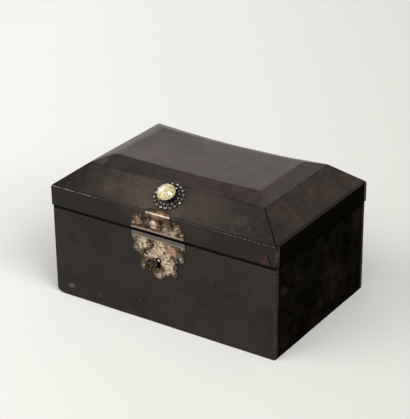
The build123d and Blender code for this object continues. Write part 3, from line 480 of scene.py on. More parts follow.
def crown_leather(name, colours):
    """The lid's top sheet: polished and faded on the flat, darker and redder on the bevels."""
    sizes = bpy.context.scene.casket_cover
    material, tree, shader, where = leather(
        name, colours.leather_lid, colours.leather_crown, colours.leather_pale, 0.45, 0.5, 0.4,
    )
    axes, out_x, out_y = split(tree, where)
    past_x, past_y = (
        add(
            tree, "ShaderNodeMapRange", SMOOTH,
            values={"From Min": flat - 0.5 * MM, "From Max": flat + 1.5 * MM}, links={"Value": out},
        ).outputs["Result"]
        for out, flat in ((out_x, sizes.flat_x), (out_y, sizes.flat_y))
    )
    bevels = add(
        tree, "ShaderNodeMath", {"operation": "MAXIMUM"}, links={0: past_y, 1: past_x},
    ).outputs[0]
    blotches = speckle(tree, where, 5.0, 5.0, 0.7, 0.3, 0.7)
    coat(tree, shader, colour("#1f1713"), bevels, 0.9)
    coat(tree, shader, colour("#3e3029"), bevels, blotches, 0.7)
    coat(tree, shader, colours.leather_black, past_y, (axes["X"], 10 * MM, -60 * MM), 0.45)
    # painted sheen: the left bevel is drawn paler than the others, for the sheen that it catches
    left = -sizes.flat_x
    coat(tree, shader, colours.scuff, (axes["X"], left, left - 2.0 * MM), blotches, 0.25)
    # dust and old wax lie dark along the crease
    crease = line(tree, axes["Z"], sizes.crease, 0.2 * MM, 0.5 * MM)
    coat(tree, shader, colours.leather_black, crease, 0.25)
    # a few long scratches across the flat
    along = add(tree, "ShaderNodeMapping", values={"Scale": (0.06, 1.0, 1.0)}, links={"Vector": where})
    scratches = speckle(tree, along.outputs["Vector"], 3.0, 2.0, 0.5, 0.68, 0.72)
    level = add(
        tree, "ShaderNodeMath", {"operation": "SUBTRACT"}, values={0: 1.0}, links={1: bevels},
    ).outputs[0]
    coat(tree, shader, colour("#8a7f7a"), scratches, level, 0.2)
    return material


def lid_leather(name, colours, ends):
    """The lid's skirt and slopes: faded, with dark hips and a worn double fillet at the fold."""
    sizes = bpy.context.scene.casket_cover
    # at the ends the slopes take a paler tone, a painted sheen in place of the gloss their zero specular
    # leaves out; their skirt is painted black below
    tone, sheen = (colour("#342e2a"), 0.0) if ends else (colours.leather_lid, 0.1)
    material, tree, shader, where = leather(
        name, colours.leather_body, tone, colours.leather_faded, 0.4, sheen, 0.55,
    )
    axes, out_x, out_y = split(tree, where)
    across, ahead, up = axes["X"], axes["Y"], axes["Z"]
    front = lid_front[0].y
    right, low = lid_front[1].x, lid_front[0].z
    rubbed = speckle(tree, where, 4.0, 4.0, 0.75, 0.44, 0.6)
    slopes = add(
        tree, "ShaderNodeMapRange", SMOOTH, links={"Value": up},
        values={"From Min": sizes.fold - 0.5 * MM, "From Max": sizes.fold + 0.5 * MM},
    ).outputs["Result"]
    # the skirt is drawn darker than the slopes: partly darker leather, partly painted shade for upright
    # faces that take less light; at the ends it is drawn black, painted shade
    skirt = add(
        tree, "ShaderNodeMath", {"operation": "SUBTRACT"}, values={0: 1.0}, links={1: slopes},
    ).outputs[0]
    coat(tree, shader, colour("#24211d"), skirt, 0.9)
    coat(tree, shader, colours.leather_ends_dark_and_shaded, skirt, (out_x, right - 1.2 * MM, right - 0.5 * MM))
    # the slopes darken towards the hips, or at the ends towards the front and the fold
    if ends:
        dusk = ((ahead, 0, -80 * MM), (up, sizes.crease, sizes.fold), 0.15)
    else:
        dusk = ((out_x, 60 * MM, 120 * MM), (rubbed, 1.3, -0.2), 0.6)
    coat(tree, shader, colours.leather_black, slopes, *dusk)
    crease = line(tree, up, sizes.crease, 0.3 * MM, 0.6 * MM)
    coat(tree, shader, colours.leather_black, crease, 0.2)
    if not ends:
        # hands at the lock have rubbed the front slope browner round the boss; its left end is darker
        mottle = speckle(tree, where, 2.5, 5.0, 0.75, 0.25, 0.65)
        coat(tree, shader, colours.leather_black, slopes, (across, -84 * MM, -100 * MM), 0.4)
        # rubbed places as (x, y, z, radius, strength), in mm
        for x, y, z, size, strength in (
            (-24, -70, 126, 36, 0.85), (36, -70, 126, 40, 0.4),
            (15, -78, 120, 12, 0.7), (-16, -79, 119, 12, 0.7),
        ):
            handled = near(tree, where, (x, y, z), size * 0.15, size)
            coat(tree, shader, colours.leather_pale, handled, mottle, strength)
    # dark hips, where the sheets meet: a slope's share left along Y is there the same as that along X
    step_x = right - sizes.crease_x
    step_y = -front - sizes.crease_y
    hip_x = add(
        tree, "ShaderNodeMath", {"operation": "MULTIPLY_ADD"},
        values={1: 1 / step_x, 2: -right / step_x}, links={0: out_x},
    ).outputs[0]
    hip_y = add(
        tree, "ShaderNodeMath", {"operation": "MULTIPLY_ADD"},
        values={1: -1 / step_y, 2: -front / step_y}, links={0: out_y},
    ).outputs[0]
    hip = add(tree, "ShaderNodeMath", {"operation": "ADD"}, links={0: hip_y, 1: hip_x}).outputs[0]
    coat(tree, shader, colour("#16100d"), line(tree, hip, 0.0, 0.03, 0.04), slopes, 0.85)
    # two tooled lines run along the fold, dark where their gilding is gone; the pale line on the fold is
    # gilding that is left and a painted highlight on the fold's edge
    for rise in (-0.9, 1.1):
        rule = line(tree, up, sizes.fold + rise * MM, 0.2 * MM, 0.3 * MM)
        coat(tree, shader, colours.leather_black, rule, 0.7)
    if not ends:
        worn = speckle(tree, where, 7.0, 3.0, 0.7, 0.4, 0.6)
        rule = line(tree, up, sizes.fold + 0.1 * MM, 0.15 * MM, 0.25 * MM)
        front_only = (ahead, 1 * MM, -1 * MM)
        coat(tree, shader, colours.gilt_and_highlight, rule, worn, (across, -55 * MM, -75 * MM), front_only, 0.75)
        dashes = add(
            tree, "ShaderNodeMath", {"operation": "PINGPONG"}, values={1: 2.5 * MM}, links={0: across},
        ).outputs[0]
        coat(
            tree, shader, colours.gilt_and_highlight, rule, worn,
            (across, 50 * MM, 90 * MM), (dashes, 1.0 * MM, 1.6 * MM), front_only, 0.35,
        )
        # a chip torn out of the skirt near its right corner, as (x, z) and (x, z, radius) in mm
        for x, z in ((117.0, 104.4), (118.2, 101.6), (119.2, 98.8), (120.4, 96.4)):
            tear = near(tree, where, (x, front / MM, z), 0.7, 1.9)
            coat(tree, shader, colours.joint, tear, 0.9)
        for x, z, size in (
            (111.4, 96.0, 2.8), (114.4, 97.4, 3.8), (116.4, 96.8, 2.6),
            (114.3, 101.0, 3.1), (114.2, 103.4, 2.1),
        ):
            chip = near(tree, where, (x, front / MM, z), size * 0.7, size)
            coat(tree, shader, colour("#3b2924"), chip)
        # the sheet is folded round its right corner, and hands have rubbed the fold
        coat(
            tree, shader, colours.leather_pale,
            (across, right - 2.2 * MM, right - 1.4 * MM), skirt, rubbed, 0.5,
        )
        overlap = line(tree, across, right - 2.6 * MM, 0.25 * MM, 0.5 * MM)
        coat(tree, shader, colours.joint, overlap, skirt, rubbed, 0.9)
    # painted shade: the lowest edge of the skirt is drawn black, for the shadow in the gap of the joint,
    # over old wax
    coat(tree, shader, colours.joint, line(tree, up, low, 0.6 * MM, 0.4 * MM))
    return material


def silvered_plate(name, colours, worn, dark, pitted, edges):
    """Silvered sheet brass: brown with tarnish, worn to cream silver in the middle, and pitted black.

    worn are the places where the tarnish is rubbed off, as (across, up, inner radius, outer radius,
    strength, colour). dark are the same without a colour, pitted are (across, up, radius), and edges
    are bands along a height as (height, half width, strength, colour), all in mm on the front: polished
    edges, and also painted highlights and painted shade.
    """
    material, tree, shader, where = surface(name, colours.tarnish, metallic=1.0)
    # the plates' face lies about 1 mm before the leather
    y = body_front[0].y / MM - 1.0
    patches = speckle(tree, where, 5.0, 4.0, 0.65, 0.38, 0.62)
    stains = speckle(tree, where, 2.2, 4.0, 0.75, 0.46, 0.6)
    rough = add(
        tree, "ShaderNodeTexNoise",
        values={"Scale": per_metre(1.9), "Detail": 3.0, "Roughness": 0.6}, links={"Vector": where},
    ).outputs["Fac"]
    for across, up, radius in pitted:
        spot = near(tree, where, (across, y, up), radius * 0.5, radius)
        rough = add(
            tree, "ShaderNodeMath", {"operation": "MULTIPLY_ADD"},
            values={1: 0.1}, links={0: spot, 2: rough},
        ).outputs[0]
    pits = add(
        tree, "ShaderNodeMapRange", SMOOTH,
        values={"From Min": 0.6, "From Max": 0.63}, links={"Value": rough},
    ).outputs["Result"]
    coat(tree, shader, colours.brass, patches, 0.7)
    loose = add(
        tree, "ShaderNodeMath", {"operation": "MULTIPLY_ADD"},
        values={1: 1.3, 2: 0.25}, links={0: patches},
    ).outputs[0]
    for across, up, inner, outer, strength, tone in worn:
        coat(tree, shader, tone, near(tree, where, (across, y, up), inner, outer), loose, strength)
    coat(tree, shader, colours.tarnish, stains, 0.5)
    for across, up, inner, outer, strength in dark:
        coat(tree, shader, colours.pit, near(tree, where, (across, y, up), inner, outer), strength)
    coat(tree, shader, colours.pit, pits)
    height = add(tree, "ShaderNodeSeparateXYZ", links={0: where}).outputs["Z"]
    for level, half_width, strength, tone in edges:
        coat(tree, shader, tone, line(tree, height, level * MM, half_width * MM, 0.3 * MM), strength)
    gloss = add(
        tree, "ShaderNodeMapRange", values={"To Min": 0.3, "To Max": 0.6}, links={"Value": stains},
    )
    tree.links.new(gloss.outputs["Result"], shader.inputs["Roughness"])
    bump = add(
        tree, "ShaderNodeBump", {"invert": True},
        values={"Strength": 0.4, "Distance": 0.2 * MM}, links={"Height": pits},
    )
    tree.links.new(bump.outputs["Normal"], shader.inputs["Normal"])
    return material


def plain_metal(name, tone, roughness, tarnish, amount):
    """Old metal with a soft bloom of tarnish, which dulls it where it is thick."""
    material, tree, shader, where = surface(name, tone, metallic=1.0)
    bloom = speckle(tree, where, 3.0, 4.0, 0.65, 0.42, 0.64)
    coat(tree, shader, tarnish, bloom, amount)
    gloss = add(
        tree, "ShaderNodeMapRange",
        values={"To Min": roughness - 0.05, "To Max": roughness + 0.15}, links={"Value": bloom},
    )
    tree.links.new(gloss.outputs["Result"], shader.inputs["Roughness"])
    return material


def stone_finish(colours, seat):
    """Foiled pale yellow paste: a glassy face over a foil that shows as rays round an olive middle."""
    jewel = bpy.context.scene.casket_jewel
    material, tree, shader, where = surface("pale_yellow_paste", colours.stone)
    flat = add(
        tree, "ShaderNodeMapping", {"vector_type": "TEXTURE"}, links={"Vector": where},
        values={
            "Location": seat.to_translation(), "Rotation": seat.to_euler(), "Scale": (jewel.oval, 1, 1),
        },
    ).outputs["Vector"]
    axes = add(tree, "ShaderNodeSeparateXYZ", links={0: flat}).outputs
    level = add(tree, "ShaderNodeCombineXYZ", links={0: axes["X"], 1: axes["Y"]}).outputs[0]
    out = add(tree, "ShaderNodeVectorMath", {"operation": "LENGTH"}, links={0: level}).outputs["Value"]
    angle = add(
        tree, "ShaderNodeMath", {"operation": "ARCTAN2"}, links={0: axes["Y"], 1: axes["X"]},
    ).outputs[0]
    # the noise is read by angle and hardly by distance, so that it streaks outwards as rays
    round_the_stone = add(tree, "ShaderNodeCombineXYZ", links={0: angle, 1: out}).outputs[0]
    rays = add(
        tree, "ShaderNodeTexNoise",
        values={"Scale": 2.6, "Detail": 2.0, "Roughness": 0.6}, links={"Vector": round_the_stone},
    ).outputs["Fac"]
    coat(tree, shader, colours.stone_pale, (rays, 0.42, 0.6))
    coat(tree, shader, colours.stone_deep, (out, jewel.stone * 0.55, jewel.stone * 0.1), 0.7)
    # its right side is deeper, and a white painted highlight sits in its upper left, where a facet would
    # flash
    coat(tree, shader, colours.stone_deep, (axes["X"], -1.5 * MM, 3.5 * MM), 0.5)
    painted_highlight = near(tree, flat, (-3.4, 0.6, jewel.rim_height / MM + 2.0), 1.6, 4.6)
    coat(tree, shader, colour("#fffdf0"), painted_highlight)
    shader.inputs["Roughness"].default_value = 0.08
    shader.inputs["IOR"].default_value = 1.55
    shader.inputs["Coat Weight"].default_value = 0.6
    shader.inputs["Coat Roughness"].default_value = 0.03
    return material


def claw_finish(seat):
    """Silvered claws over a cup drawn dark below its rim: painted shade for the shadow under the stone.
    """
    jewel = bpy.context.scene.casket_jewel
    material, tree, shader, where = surface("silvered_claw_setting", colour("#cdc3a3"), metallic=1.0)
    flat = add(
        tree, "ShaderNodeMapping", {"vector_type": "TEXTURE"}, links={"Vector": where},
        values={"Location": seat.to_translation(), "Rotation": seat.to_euler()},
    ).outputs["Vector"]
    height = add(tree, "ShaderNodeSeparateXYZ", links={0: flat}).outputs["Z"]
    rim = jewel.step_top + jewel.rim_height
    # painted shade: the cup is dark below the rim
    coat(tree, shader, colour("#2a1f18"), (height, rim, rim - 1.0 * MM))
    shader.inputs["Roughness"].default_value = 0.32
    return material


def board_finish(colours):
    """Planed softwood gone brown: long grain of about 3 mm along X."""
    material, tree, shader, where = surface("planed_softwood", colours.wood)
    along = add(tree, "ShaderNodeMapping", values={"Scale": (0.12, 1.0, 1.0)}, links={"Vector": where})
    grain = speckle(tree, along.outputs["Vector"], 3.0, 6.0, 0.6, 0.3, 0.7)
    coat(tree, shader, colour("#5e4128"), grain, 0.6)
    # painted shade: the wood behind the keyhole is drawn black, for the dark inside the keyhole
    keyhole_shade = near(tree, where, (-1, body_front[0].y / MM + 6, 66), 8.0, 10.0)
    coat(tree, shader, colour("#070605"), keyhole_shade)
    # the rims that meet at the joint are drawn black: painted shade for the gap between lid and body, and
    # the leather's dye run onto them
    up = add(tree, "ShaderNodeSeparateXYZ", links={0: where}).outputs["Z"]
    coat(tree, shader, colours.leather_black, line(tree, up, body_front[1].z, 1.0 * MM, 1.5 * MM), 0.95)
    shader.inputs["Roughness"].default_value = 0.7
    return material


def paper_finish(colours):
    """Old wove lining paper: faded, with brown foxing spots."""
    material, tree, shader, where = surface("wove_lining_paper", colours.paper)
    coat(tree, shader, colour("#a78a79"), speckle(tree, where, 60.0, 3.0, 0.5, 0.35, 0.65), 0.4)
    coat(tree, shader, colour("#5d3f30"), speckle(tree, where, 2.6, 2.0, 0.5, 0.66, 0.74), 0.6)
    shader.inputs["Roughness"].default_value = 0.85
    return material


def finish_node(name, material):
    """Gives a CAD node its material."""
    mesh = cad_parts[name].data
    mesh.materials.clear()
    mesh.materials.append(material)


def place_piece(name, shape, material, body, replaced, smooth_angle=40.0):
    """Turns a finished shape into a piece that rides on a body and stands for some CAD nodes."""
    mesh = bpy.data.meshes.new(name)
    shape.to_mesh(mesh)
    shape.free()
    for face in mesh.polygons:
        face.use_smooth = smooth_angle > 0
    if smooth_angle > 0:
        mesh.set_sharp_from_angle(angle=math.radians(smooth_angle))
    mesh.materials.append(material)
    piece = bpy.data.objects.new(name, mesh)
    bpy.context.scene.collection.objects.link(piece)
    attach(piece, body)
    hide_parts(*replaced)
    return piece


def covered_box(low, high, open_side):
    """A shell round a box, without the faces that a test picks."""
    shell = bmesh.new()
    bmesh.ops.create_cube(shell, size=1.0)
    bmesh.ops.scale(shell, vec=high - low, verts=shell.verts)
    bmesh.ops.translate(shell, vec=(low + high) / 2, verts=shell.verts)
    bmesh.ops.delete(shell, geom=[f for f in shell.faces if open_side(f)], context="FACES_ONLY")
    return shell


def edges_over(shape, angle):
    """The edges where two faces meet at more than an angle in degrees."""
    limit = math.radians(angle)
    return [e for e in shape.edges if len(e.link_faces) == 2 and e.calc_face_angle(0.0) > limit]


def soften(shape, edges, width, segments):
    """Rounds edges to a width, or to less where there is no room for it."""
    bmesh.ops.bevel(
        shape, geom=edges, offset=width, offset_type="OFFSET", affect="EDGES", segments=segments,
        profile=0.5, material=-1, clamp_overlap=True,
    )


def slice_at(shape, point, normal):
    """Cuts a shape by one plane and keeps both sides."""
    whole = shape.verts[:] + shape.edges[:] + shape.faces[:]
    bmesh.ops.bisect_plane(shape, geom=whole, dist=1e-7, plane_co=point, plane_no=normal)


def cut_grid(shape, axis, low, high, step):
    """Cuts a shape by evenly spaced planes square to an axis."""
    normal = Vector((0, 0, 0))
    normal[axis] = 1.0
    count = max(1, round((high - low) / step))
    for i in range(1, count):
        slice_at(shape, normal * (low + (high - low) * i / count), normal)


def waves(shape, amount, seed):
    """Lifts and sinks a shape along its normals by soft waves of about 30 mm."""
    shape.normal_update()
    for vertex in shape.verts:
        wave = noise.noise(vertex.co * per_metre(30.0) + seed)
        vertex.co += vertex.normal * amount * wave


def deal_out(shape, tests):
    """Marks each face of a shell with the number of the first test that its middle passes."""
    for face in shape.faces:
        middle = face.calc_center_median()
        face.material_index = next(i for i, test in enumerate(tests) if test(middle))


def take_sheet(shape, number, wall, hem):
    """One sheet of a shell: the faces with its number, with a wall inwards and softened cut edges."""
    sheet = shape.copy()
    others = [f for f in sheet.faces if f.material_index != number]
    bmesh.ops.delete(sheet, geom=others, context="FACES")
    for face in sheet.faces:
        face.material_index = 0
    sheet.normal_update()
    bmesh.ops.solidify(sheet, geom=sheet.faces[:], thickness=wall)
    bmesh.ops.recalc_face_normals(sheet, faces=sheet.faces[:])
    soften(sheet, edges_over(sheet, 70), hem, 2)
    return sheet


def lay_sheets(shell, sheets, first, body):
    """Takes the numbered sheets off a shell and lays them on a body."""
    sizes = bpy.context.scene.casket_cover
    for number, (node, material) in enumerate(sheets, start=first):
        sheet = take_sheet(shell, number, sizes.wall, sizes.hem)
        piece = place_piece(f"{node}_sheet", sheet, material, body, (node,))
        piece.modifiers.new("even_light", "WEIGHTED_NORMAL").keep_sharp = True
    shell.free()


class CASKET_OT_body_leather(bpy.types.Operator):
    """Covers the body with four sheets of leather, of which front and back turn the corners"""

    bl_idname = "casket.body_leather"
    bl_label = "Body leather"

    def execute(self, context):
        sizes = context.scene.casket_cover
        colours = context.scene.casket_colours
        low = Vector((-body_front[1].x, body_front[0].y, body_front[0].z))
        high = Vector((body_front[1].x, -body_front[0].y, body_front[1].z))
        shell = covered_box(low, high, lambda f: abs(f.normal.z) > 0.5)
        uprights = [e for e in shell.edges if abs(e.verts[0].co.z - e.verts[1].co.z) > 10 * MM]
        soften(shell, uprights, sizes.corner, 4)
        cut_grid(shell, 0, low.x, high.x, sizes.grid)
        cut_grid(shell, 1, low.y, high.y, sizes.grid)
        cut_grid(shell, 2, low.z, high.z, sizes.grid)
        seam = left_wrap[1].y
        slice_at(shell, (0, -seam, 0), (0, 1, 0))
        slice_at(shell, (0, seam, 0), (0, 1, 0))
        for point, normal in (
            ((sizes.key_x - sizes.key_half, 0, 0), (1, 0, 0)),
            ((sizes.key_x + sizes.key_half, 0, 0), (1, 0, 0)),
            ((0, 0, sizes.key_low), (0, 0, 1)),
            ((0, 0, sizes.key_high), (0, 0, 1)),
        ):
            slice_at(shell, point, normal)

        def at_keyhole(p):
            across = abs(p.x - sizes.key_x) < sizes.key_half
            return p.y < -seam and across and sizes.key_low < p.z < sizes.key_high

        deal_out(shell, (
            at_keyhole,
            lambda p: p.y < -seam,
            lambda p: p.y > seam,
            lambda p: p.x < 0,
            lambda p: p.x > 0,
        ))
        waves(shell, sizes.unevenness, Vector((3, 1, 4)))
        # the front left foot is rubbed down to a facet
        inward = Vector((1 / sizes.worn_front, 1 / sizes.worn_end, 1 / sizes.worn_up))
        for vertex in shell.verts:
            outside = 1 - (vertex.co - Vector((low.x, low.y, 0))).dot(inward)
            if outside > 0:
                level_way = Vector((inward.x, inward.y, 0))
                vertex.co += level_way * (outside / level_way.length_squared)
        face = body_leather("black_goatskin_body", colours, False)
        ends = body_leather("black_goatskin_ends_shaded", colours, True)
        sheets = (
            ("front_leather", face),
            ("back_leather", face),
            ("left_leather", ends),
            ("right_leather", ends),
        )
        # what was marked at the keyhole is left out
        lay_sheets(shell, sheets, 1, "body")
        return {"FINISHED"}


class CASKET_OT_lid_leather(bpy.types.Operator):
    """Covers the lid with five sheets of leather that meet on the hips and the crease"""

    bl_idname = "casket.lid_leather"
    bl_label = "Lid leather"

    def execute(self, context):
        sizes = context.scene.casket_cover
        colours = context.scene.casket_colours
        half_x = lid_front[1].x
        half_y = -lid_front[0].y
        low = lid_front[0].z
        corners = Vector((-half_x, -half_y, low)), Vector((half_x, half_y, sizes.fold))
        shell = covered_box(*corners, lambda f: f.normal.z < -0.5)
        for level, reach_x, reach_y in (
            (sizes.crease, sizes.crease_x, sizes.crease_y),
            (cad_box[1].z, sizes.flat_x, sizes.flat_y),
        ):
            roof = max(shell.faces, key=lambda f: f.calc_center_median().z)
            bmesh.ops.inset_region(
                shell, faces=[roof], thickness=10 * MM, depth=0.0, use_even_offset=True,
            )
            now_x = max(v.co.x for v in roof.verts)
            now_y = max(v.co.y for v in roof.verts)
            now_z = roof.calc_center_median().z
            bmesh.ops.scale(shell, vec=(reach_x / now_x, reach_y / now_y, 1), verts=roof.verts)
            bmesh.ops.translate(shell, vec=(0, 0, level - now_z), verts=roof.verts)
        # the flat's left edge is worn much rounder than the other folds
        left_fold = [
            e for e in shell.edges
            if max(v.co.x for v in e.verts) < -sizes.flat_x + 1e-6
            and min(v.co.z for v in e.verts) > sizes.crease + 1e-3
        ]
        soften(shell, left_fold, sizes.left_fold, 6)
        shell.normal_update()
        soften(shell, edges_over(shell, 8), sizes.softness, 3)
        cut_grid(shell, 0, -half_x, half_x, sizes.grid)
        cut_grid(shell, 1, -half_y, half_y, sizes.grid)
        cut_grid(shell, 2, low, sizes.fold, sizes.grid)
        seam = half_y - sizes.turned
        slice_at(shell, (0, -seam, 0), (0, 1, 0))
        slice_at(shell, (0, seam, 0), (0, 1, 0))
        slice_at(shell, (0, 0, sizes.fold), (0, 0, 1))
        slice_at(shell, (0, 0, sizes.crease), (0, 0, 1))
        step_x = half_x - sizes.crease_x
        step_y = half_y - sizes.crease_y
        for side_x in (-1, 1):
            for side_y in (-1, 1):
                corner = (side_x * half_x, side_y * half_y, 0)
                slice_at(shell, corner, (side_x * step_y, -side_y * step_x, 0))

        def towards_front(p):
            return (half_y - abs(p.y)) / step_y < (half_x - abs(p.x)) / step_x

        def on_long_side(p):
            return towards_front(p) if p.z > sizes.fold else abs(p.y) > seam

        deal_out(shell, (
            lambda p: p.z > sizes.crease,
            lambda p: p.y < 0 and on_long_side(p),
            lambda p: p.y > 0 and on_long_side(p),
            lambda p: p.x < 0,
            lambda p: p.x > 0,
        ))
        waves(shell, sizes.unevenness, Vector((1, 5, 9)))
        # the flat is dished, more at the back than at the front
        top = cad_box[1].z
        for vertex in shell.verts:
            x, y, z = vertex.co
            sunk = sizes.dish_front + (sizes.dish_back - sizes.dish_front) * (y / sizes.flat_y + 1) / 2
            if y <= sizes.flat_y:
                vertex.co.z = min(z, top - sunk * max(0.0, 1 - (x / sizes.flat_x) ** 2))
        # behind the flat the bevel and the slope hang with the back crease
        lines = (
            (sizes.flat_y, sizes.flat_x, sizes.dish_back),
            (sizes.crease_y, sizes.crease_x, sizes.sag_crease),
            (half_y, half_x, sizes.sag_fold),
        )
        for (near_y, near_reach, near_sag), (far_y, far_reach, far_sag) in zip(lines, lines[1:]):
            behind = [v for v in shell.verts if near_y < v.co.y <= far_y + 1e-6]
            for vertex in [v for v in behind if v.co.z > sizes.fold - 1e-6]:
                share = (vertex.co.y - near_y) / (far_y - near_y)
                reach = near_reach + (far_reach - near_reach) * share
                sag = near_sag + (far_sag - near_sag) * share
                vertex.co.z -= sag * max(0.0, 1 - (vertex.co.x / reach) ** 2)

        sides = lid_leather("black_goatskin_lid_sides", colours, False)
        ends = lid_leather("black_goatskin_lid_ends_sheen_and_shade", colours, True)
        sheets = (
            ("lid_top_leather", crown_leather("polished_goatskin_crown", colours)),
            ("lid_front_leather", sides),
            ("lid_back_leather", sides),
            ("lid_left_leather", ends),
            ("lid_right_leather", ends),
        )
        lay_sheets(shell, sheets, 0, "lid")
        return {"FINISHED"}


class CASKET_OT_boards(bpy.types.Operator):
    """Gives the boards, their nails and the paper linings their finishes"""

    bl_idname = "casket.boards"
    bl_label = "Boards and linings"

    def execute(self, context):
        colours = context.scene.casket_colours
        wood = board_finish(colours)
        paper = paper_finish(colours)
        iron = plain_metal("wrought_iron_nails", colour("#4a4542"), 0.55, colour("#3a241a"), 0.6)
        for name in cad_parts:
            if name.endswith("lining"):
                finish_node(name, paper)
            elif name.endswith(("_board", "_rail", "_slope")):
                finish_node(name, wood)
            elif name in ("carcass_nails", "bottom_nails"):
                finish_node(name, iron)
        return {"FINISHED"}


def soft_copy(node, width):
    """A copy of a CAD node with its doubles merged, its flats joined and its sharp edges rounded."""
    shape = bmesh.new()
    shape.from_mesh(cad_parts[node].data)
    bmesh.ops.remove_doubles(shape, verts=shape.verts, dist=1e-6)
    bmesh.ops.dissolve_limit(
        shape, angle_limit=math.radians(1.0), use_dissolve_boundaries=False,
        verts=shape.verts, edges=shape.edges,
    )
    soften(shape, edges_over(shape, 35), width, 2)
    return shape


def solids_of(node):
    """The separate solids of a CAD node, each as its lowest and highest corner, from left to right."""
    shape = bmesh.new()
    shape.from_mesh(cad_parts[node].data)
    bmesh.ops.remove_doubles(shape, verts=shape.verts, dist=1e-6)
    seen = set()
    boxes = []
    for first in shape.verts:
        if first in seen:
            continue
        seen.add(first)
        found = [first]
        for here in found:
            joined = [link.other_vert(here) for link in here.link_edges]
            fresh = [vertex for vertex in joined if vertex not in seen]
            seen.update(fresh)
            found.extend(fresh)
        low = Vector([min(v.co[i] for v in found) for i in range(3)])
        high = Vector([max(v.co[i] for v in found) for i in range(3)])
        boxes.append((low, high))
    shape.free()
    return sorted(boxes, key=lambda box: (round(box[0].x / MM, 1), round(box[0].z / MM, 1)))


# from the front of a packed nail back to the underside of its head
HEAD_SEAT = 1.1 * MM


def nail_heads(node, radius, height):
    """Domes with a small rim on the heads of a node's nails, which point to the front."""
    shape = bmesh.new()
    for number, (low, high) in enumerate(solids_of(node)):
        seat = Vector(((low.x + high.x) / 2, low.y + HEAD_SEAT, (low.z + high.z) / 2))
        # each stands a few degrees off square, as nails driven by hand do
        tilt = Euler((0.06 * math.sin(number * 2.3), 0, 0.08 * math.cos(number * 1.7)))
        facing = tilt.to_matrix().to_4x4() @ Matrix.Rotation(math.radians(90), 4, "X")
        dome = bmesh.ops.create_uvsphere(shape, u_segments=20, v_segments=12, radius=radius)
        verts = dome["verts"]
        # the half under the seat is pressed nearly flat, which leaves a rim
        below = [v for v in verts if v.co.z < -1e-6]
        bmesh.ops.scale(shape, vec=(1, 1, height / radius), verts=verts)
        bmesh.ops.scale(shape, vec=(1, 1, 0.25), verts=below)
        bmesh.ops.transform(shape, matrix=Matrix.Translation(seat) @ facing, verts=verts)
    return shape


class CASKET_OT_lock_plates(bpy.types.Operator):
    """Makes the two silvered plates with softened edges, and their dome-headed nails"""

    bl_idname = "casket.lock_plates"
    bl_label = "Lock plates"

    def execute(self, context):
        sizes = context.scene.casket_metal
        colours = context.scene.casket_colours
        silver, grey, pink = colours.silver, colour("#7d7f80"), colour("#c9a48a")
        warm, cream, copper = colour("#e8c6a8"), colour("#d2c3a4"), colour("#a98165")
        shield = silvered_plate(
            "silvered_brass_shield", colours,
            worn=(
                (-18, 82, 4, 9, 0.9, silver), (1, 82, 4, 9, 1.0, silver), (12, 81, 4, 9, 0.9, pink),
                (-4, 75, 4, 9, 0.9, silver), (8, 70, 5, 10, 1.0, silver), (11, 63, 3, 7, 0.9, silver),
                (-13, 70, 2, 6, 0.7, silver), (-1, 53, 1, 5, 0.6, silver), (7, 56, 1, 4, 0.8, silver),
                (-25, 74, 2, 5, 0.7, grey), (-26, 84, 2, 5, 0.6, grey), (23, 75, 2, 6, 0.8, grey),
                (21, 68, 1, 5, 0.6, grey),
            ),
            dark=(
                (5.6, 77.7, 0.6, 2.0, 0.8), (15, 75.6, 1.0, 3.2, 0.6), (-13.6, 60, 1, 5, 0.7),
                (-6.5, 66, 3, 5, 0.6), (25, 85, 1, 4, 0.6), (-21, 67, 1, 4, 0.6),
            ),
            pitted=((-10, 82, 7), (-14, 75, 5), (-13, 65, 6), (20, 72, 5), (-5, 57, 6), (18, 62, 5)),
            # edges: the grey band at the top is patina and painted shade under the lid's overhang; the
            # pale line below it is a painted highlight
            edges=((91.3, 1.9, 0.75, colour("#6f6963")), (88.9, 0.25, 0.8, colour("#b8ada0"))),
        )
        hasp = silvered_plate(
            "silvered_brass_hasp", colours,
            worn=(
                (-5, 104.5, 3.0, 5.4, 1.3, warm), (8, 101.8, 1.2, 4.0, 0.8, cream),
                (12, 101.4, 1.2, 4.0, 0.8, cream), (17, 101, 1.2, 4.0, 0.8, cream),
                (-22, 104, 1, 5, 0.7, pink), (21, 105, 1, 5, 0.7, pink), (-1, 118, 5, 10, 0.7, copper),
            ),
            dark=(
                (2.5, 109, 1.5, 4.5, 0.9), (-9, 110.5, 1, 4, 0.7), (-14, 109, 1, 3, 0.6),
                (-13, 100, 1, 4, 0.6), (16, 108, 1, 3, 0.6),
            ),
            pitted=((3, 103, 3), (21, 101, 3), (-20, 100, 5), (-16, 107, 5)),
            # edges: the pale band at the foot is a polished edge; the pale line on the fold is a painted
            # highlight
            edges=((97.5, 0.8, 0.75, colour("#b5a396")), (115.4, 0.35, 0.85, colour("#c4b6a8"))),
        )
        heads = plain_metal("silvered_nail_heads", colour("#9a8877"), 0.22, colours.tarnish, 0.5)
        for node, body, plate in (("lock_escutcheon", "body", shield), ("lid_plate", "lid", hasp)):
            shape = soft_copy(node, sizes.plate_edge)
            if node == "lock_escutcheon":
                # its top edge is bent up into the joint under the lid
                top = max(v.co.z for v in shape.verts)
                upper = [v for v in shape.verts if v.co.z > top - 1 * MM]
                bmesh.ops.translate(shape, vec=(0, 0, sizes.shield_rise), verts=upper)
            place_piece(f"{node}_plate", shape, plate, body, (node,), 30.0)
        for node, body in (("escutcheon_nails", "body"), ("lid_plate_nails", "lid")):
            shape = nail_heads(node, sizes.head_radius, sizes.head_height)
            place_piece(f"{node}_heads", shape, heads, body, (node,), 60.0)
        return {"FINISHED"}


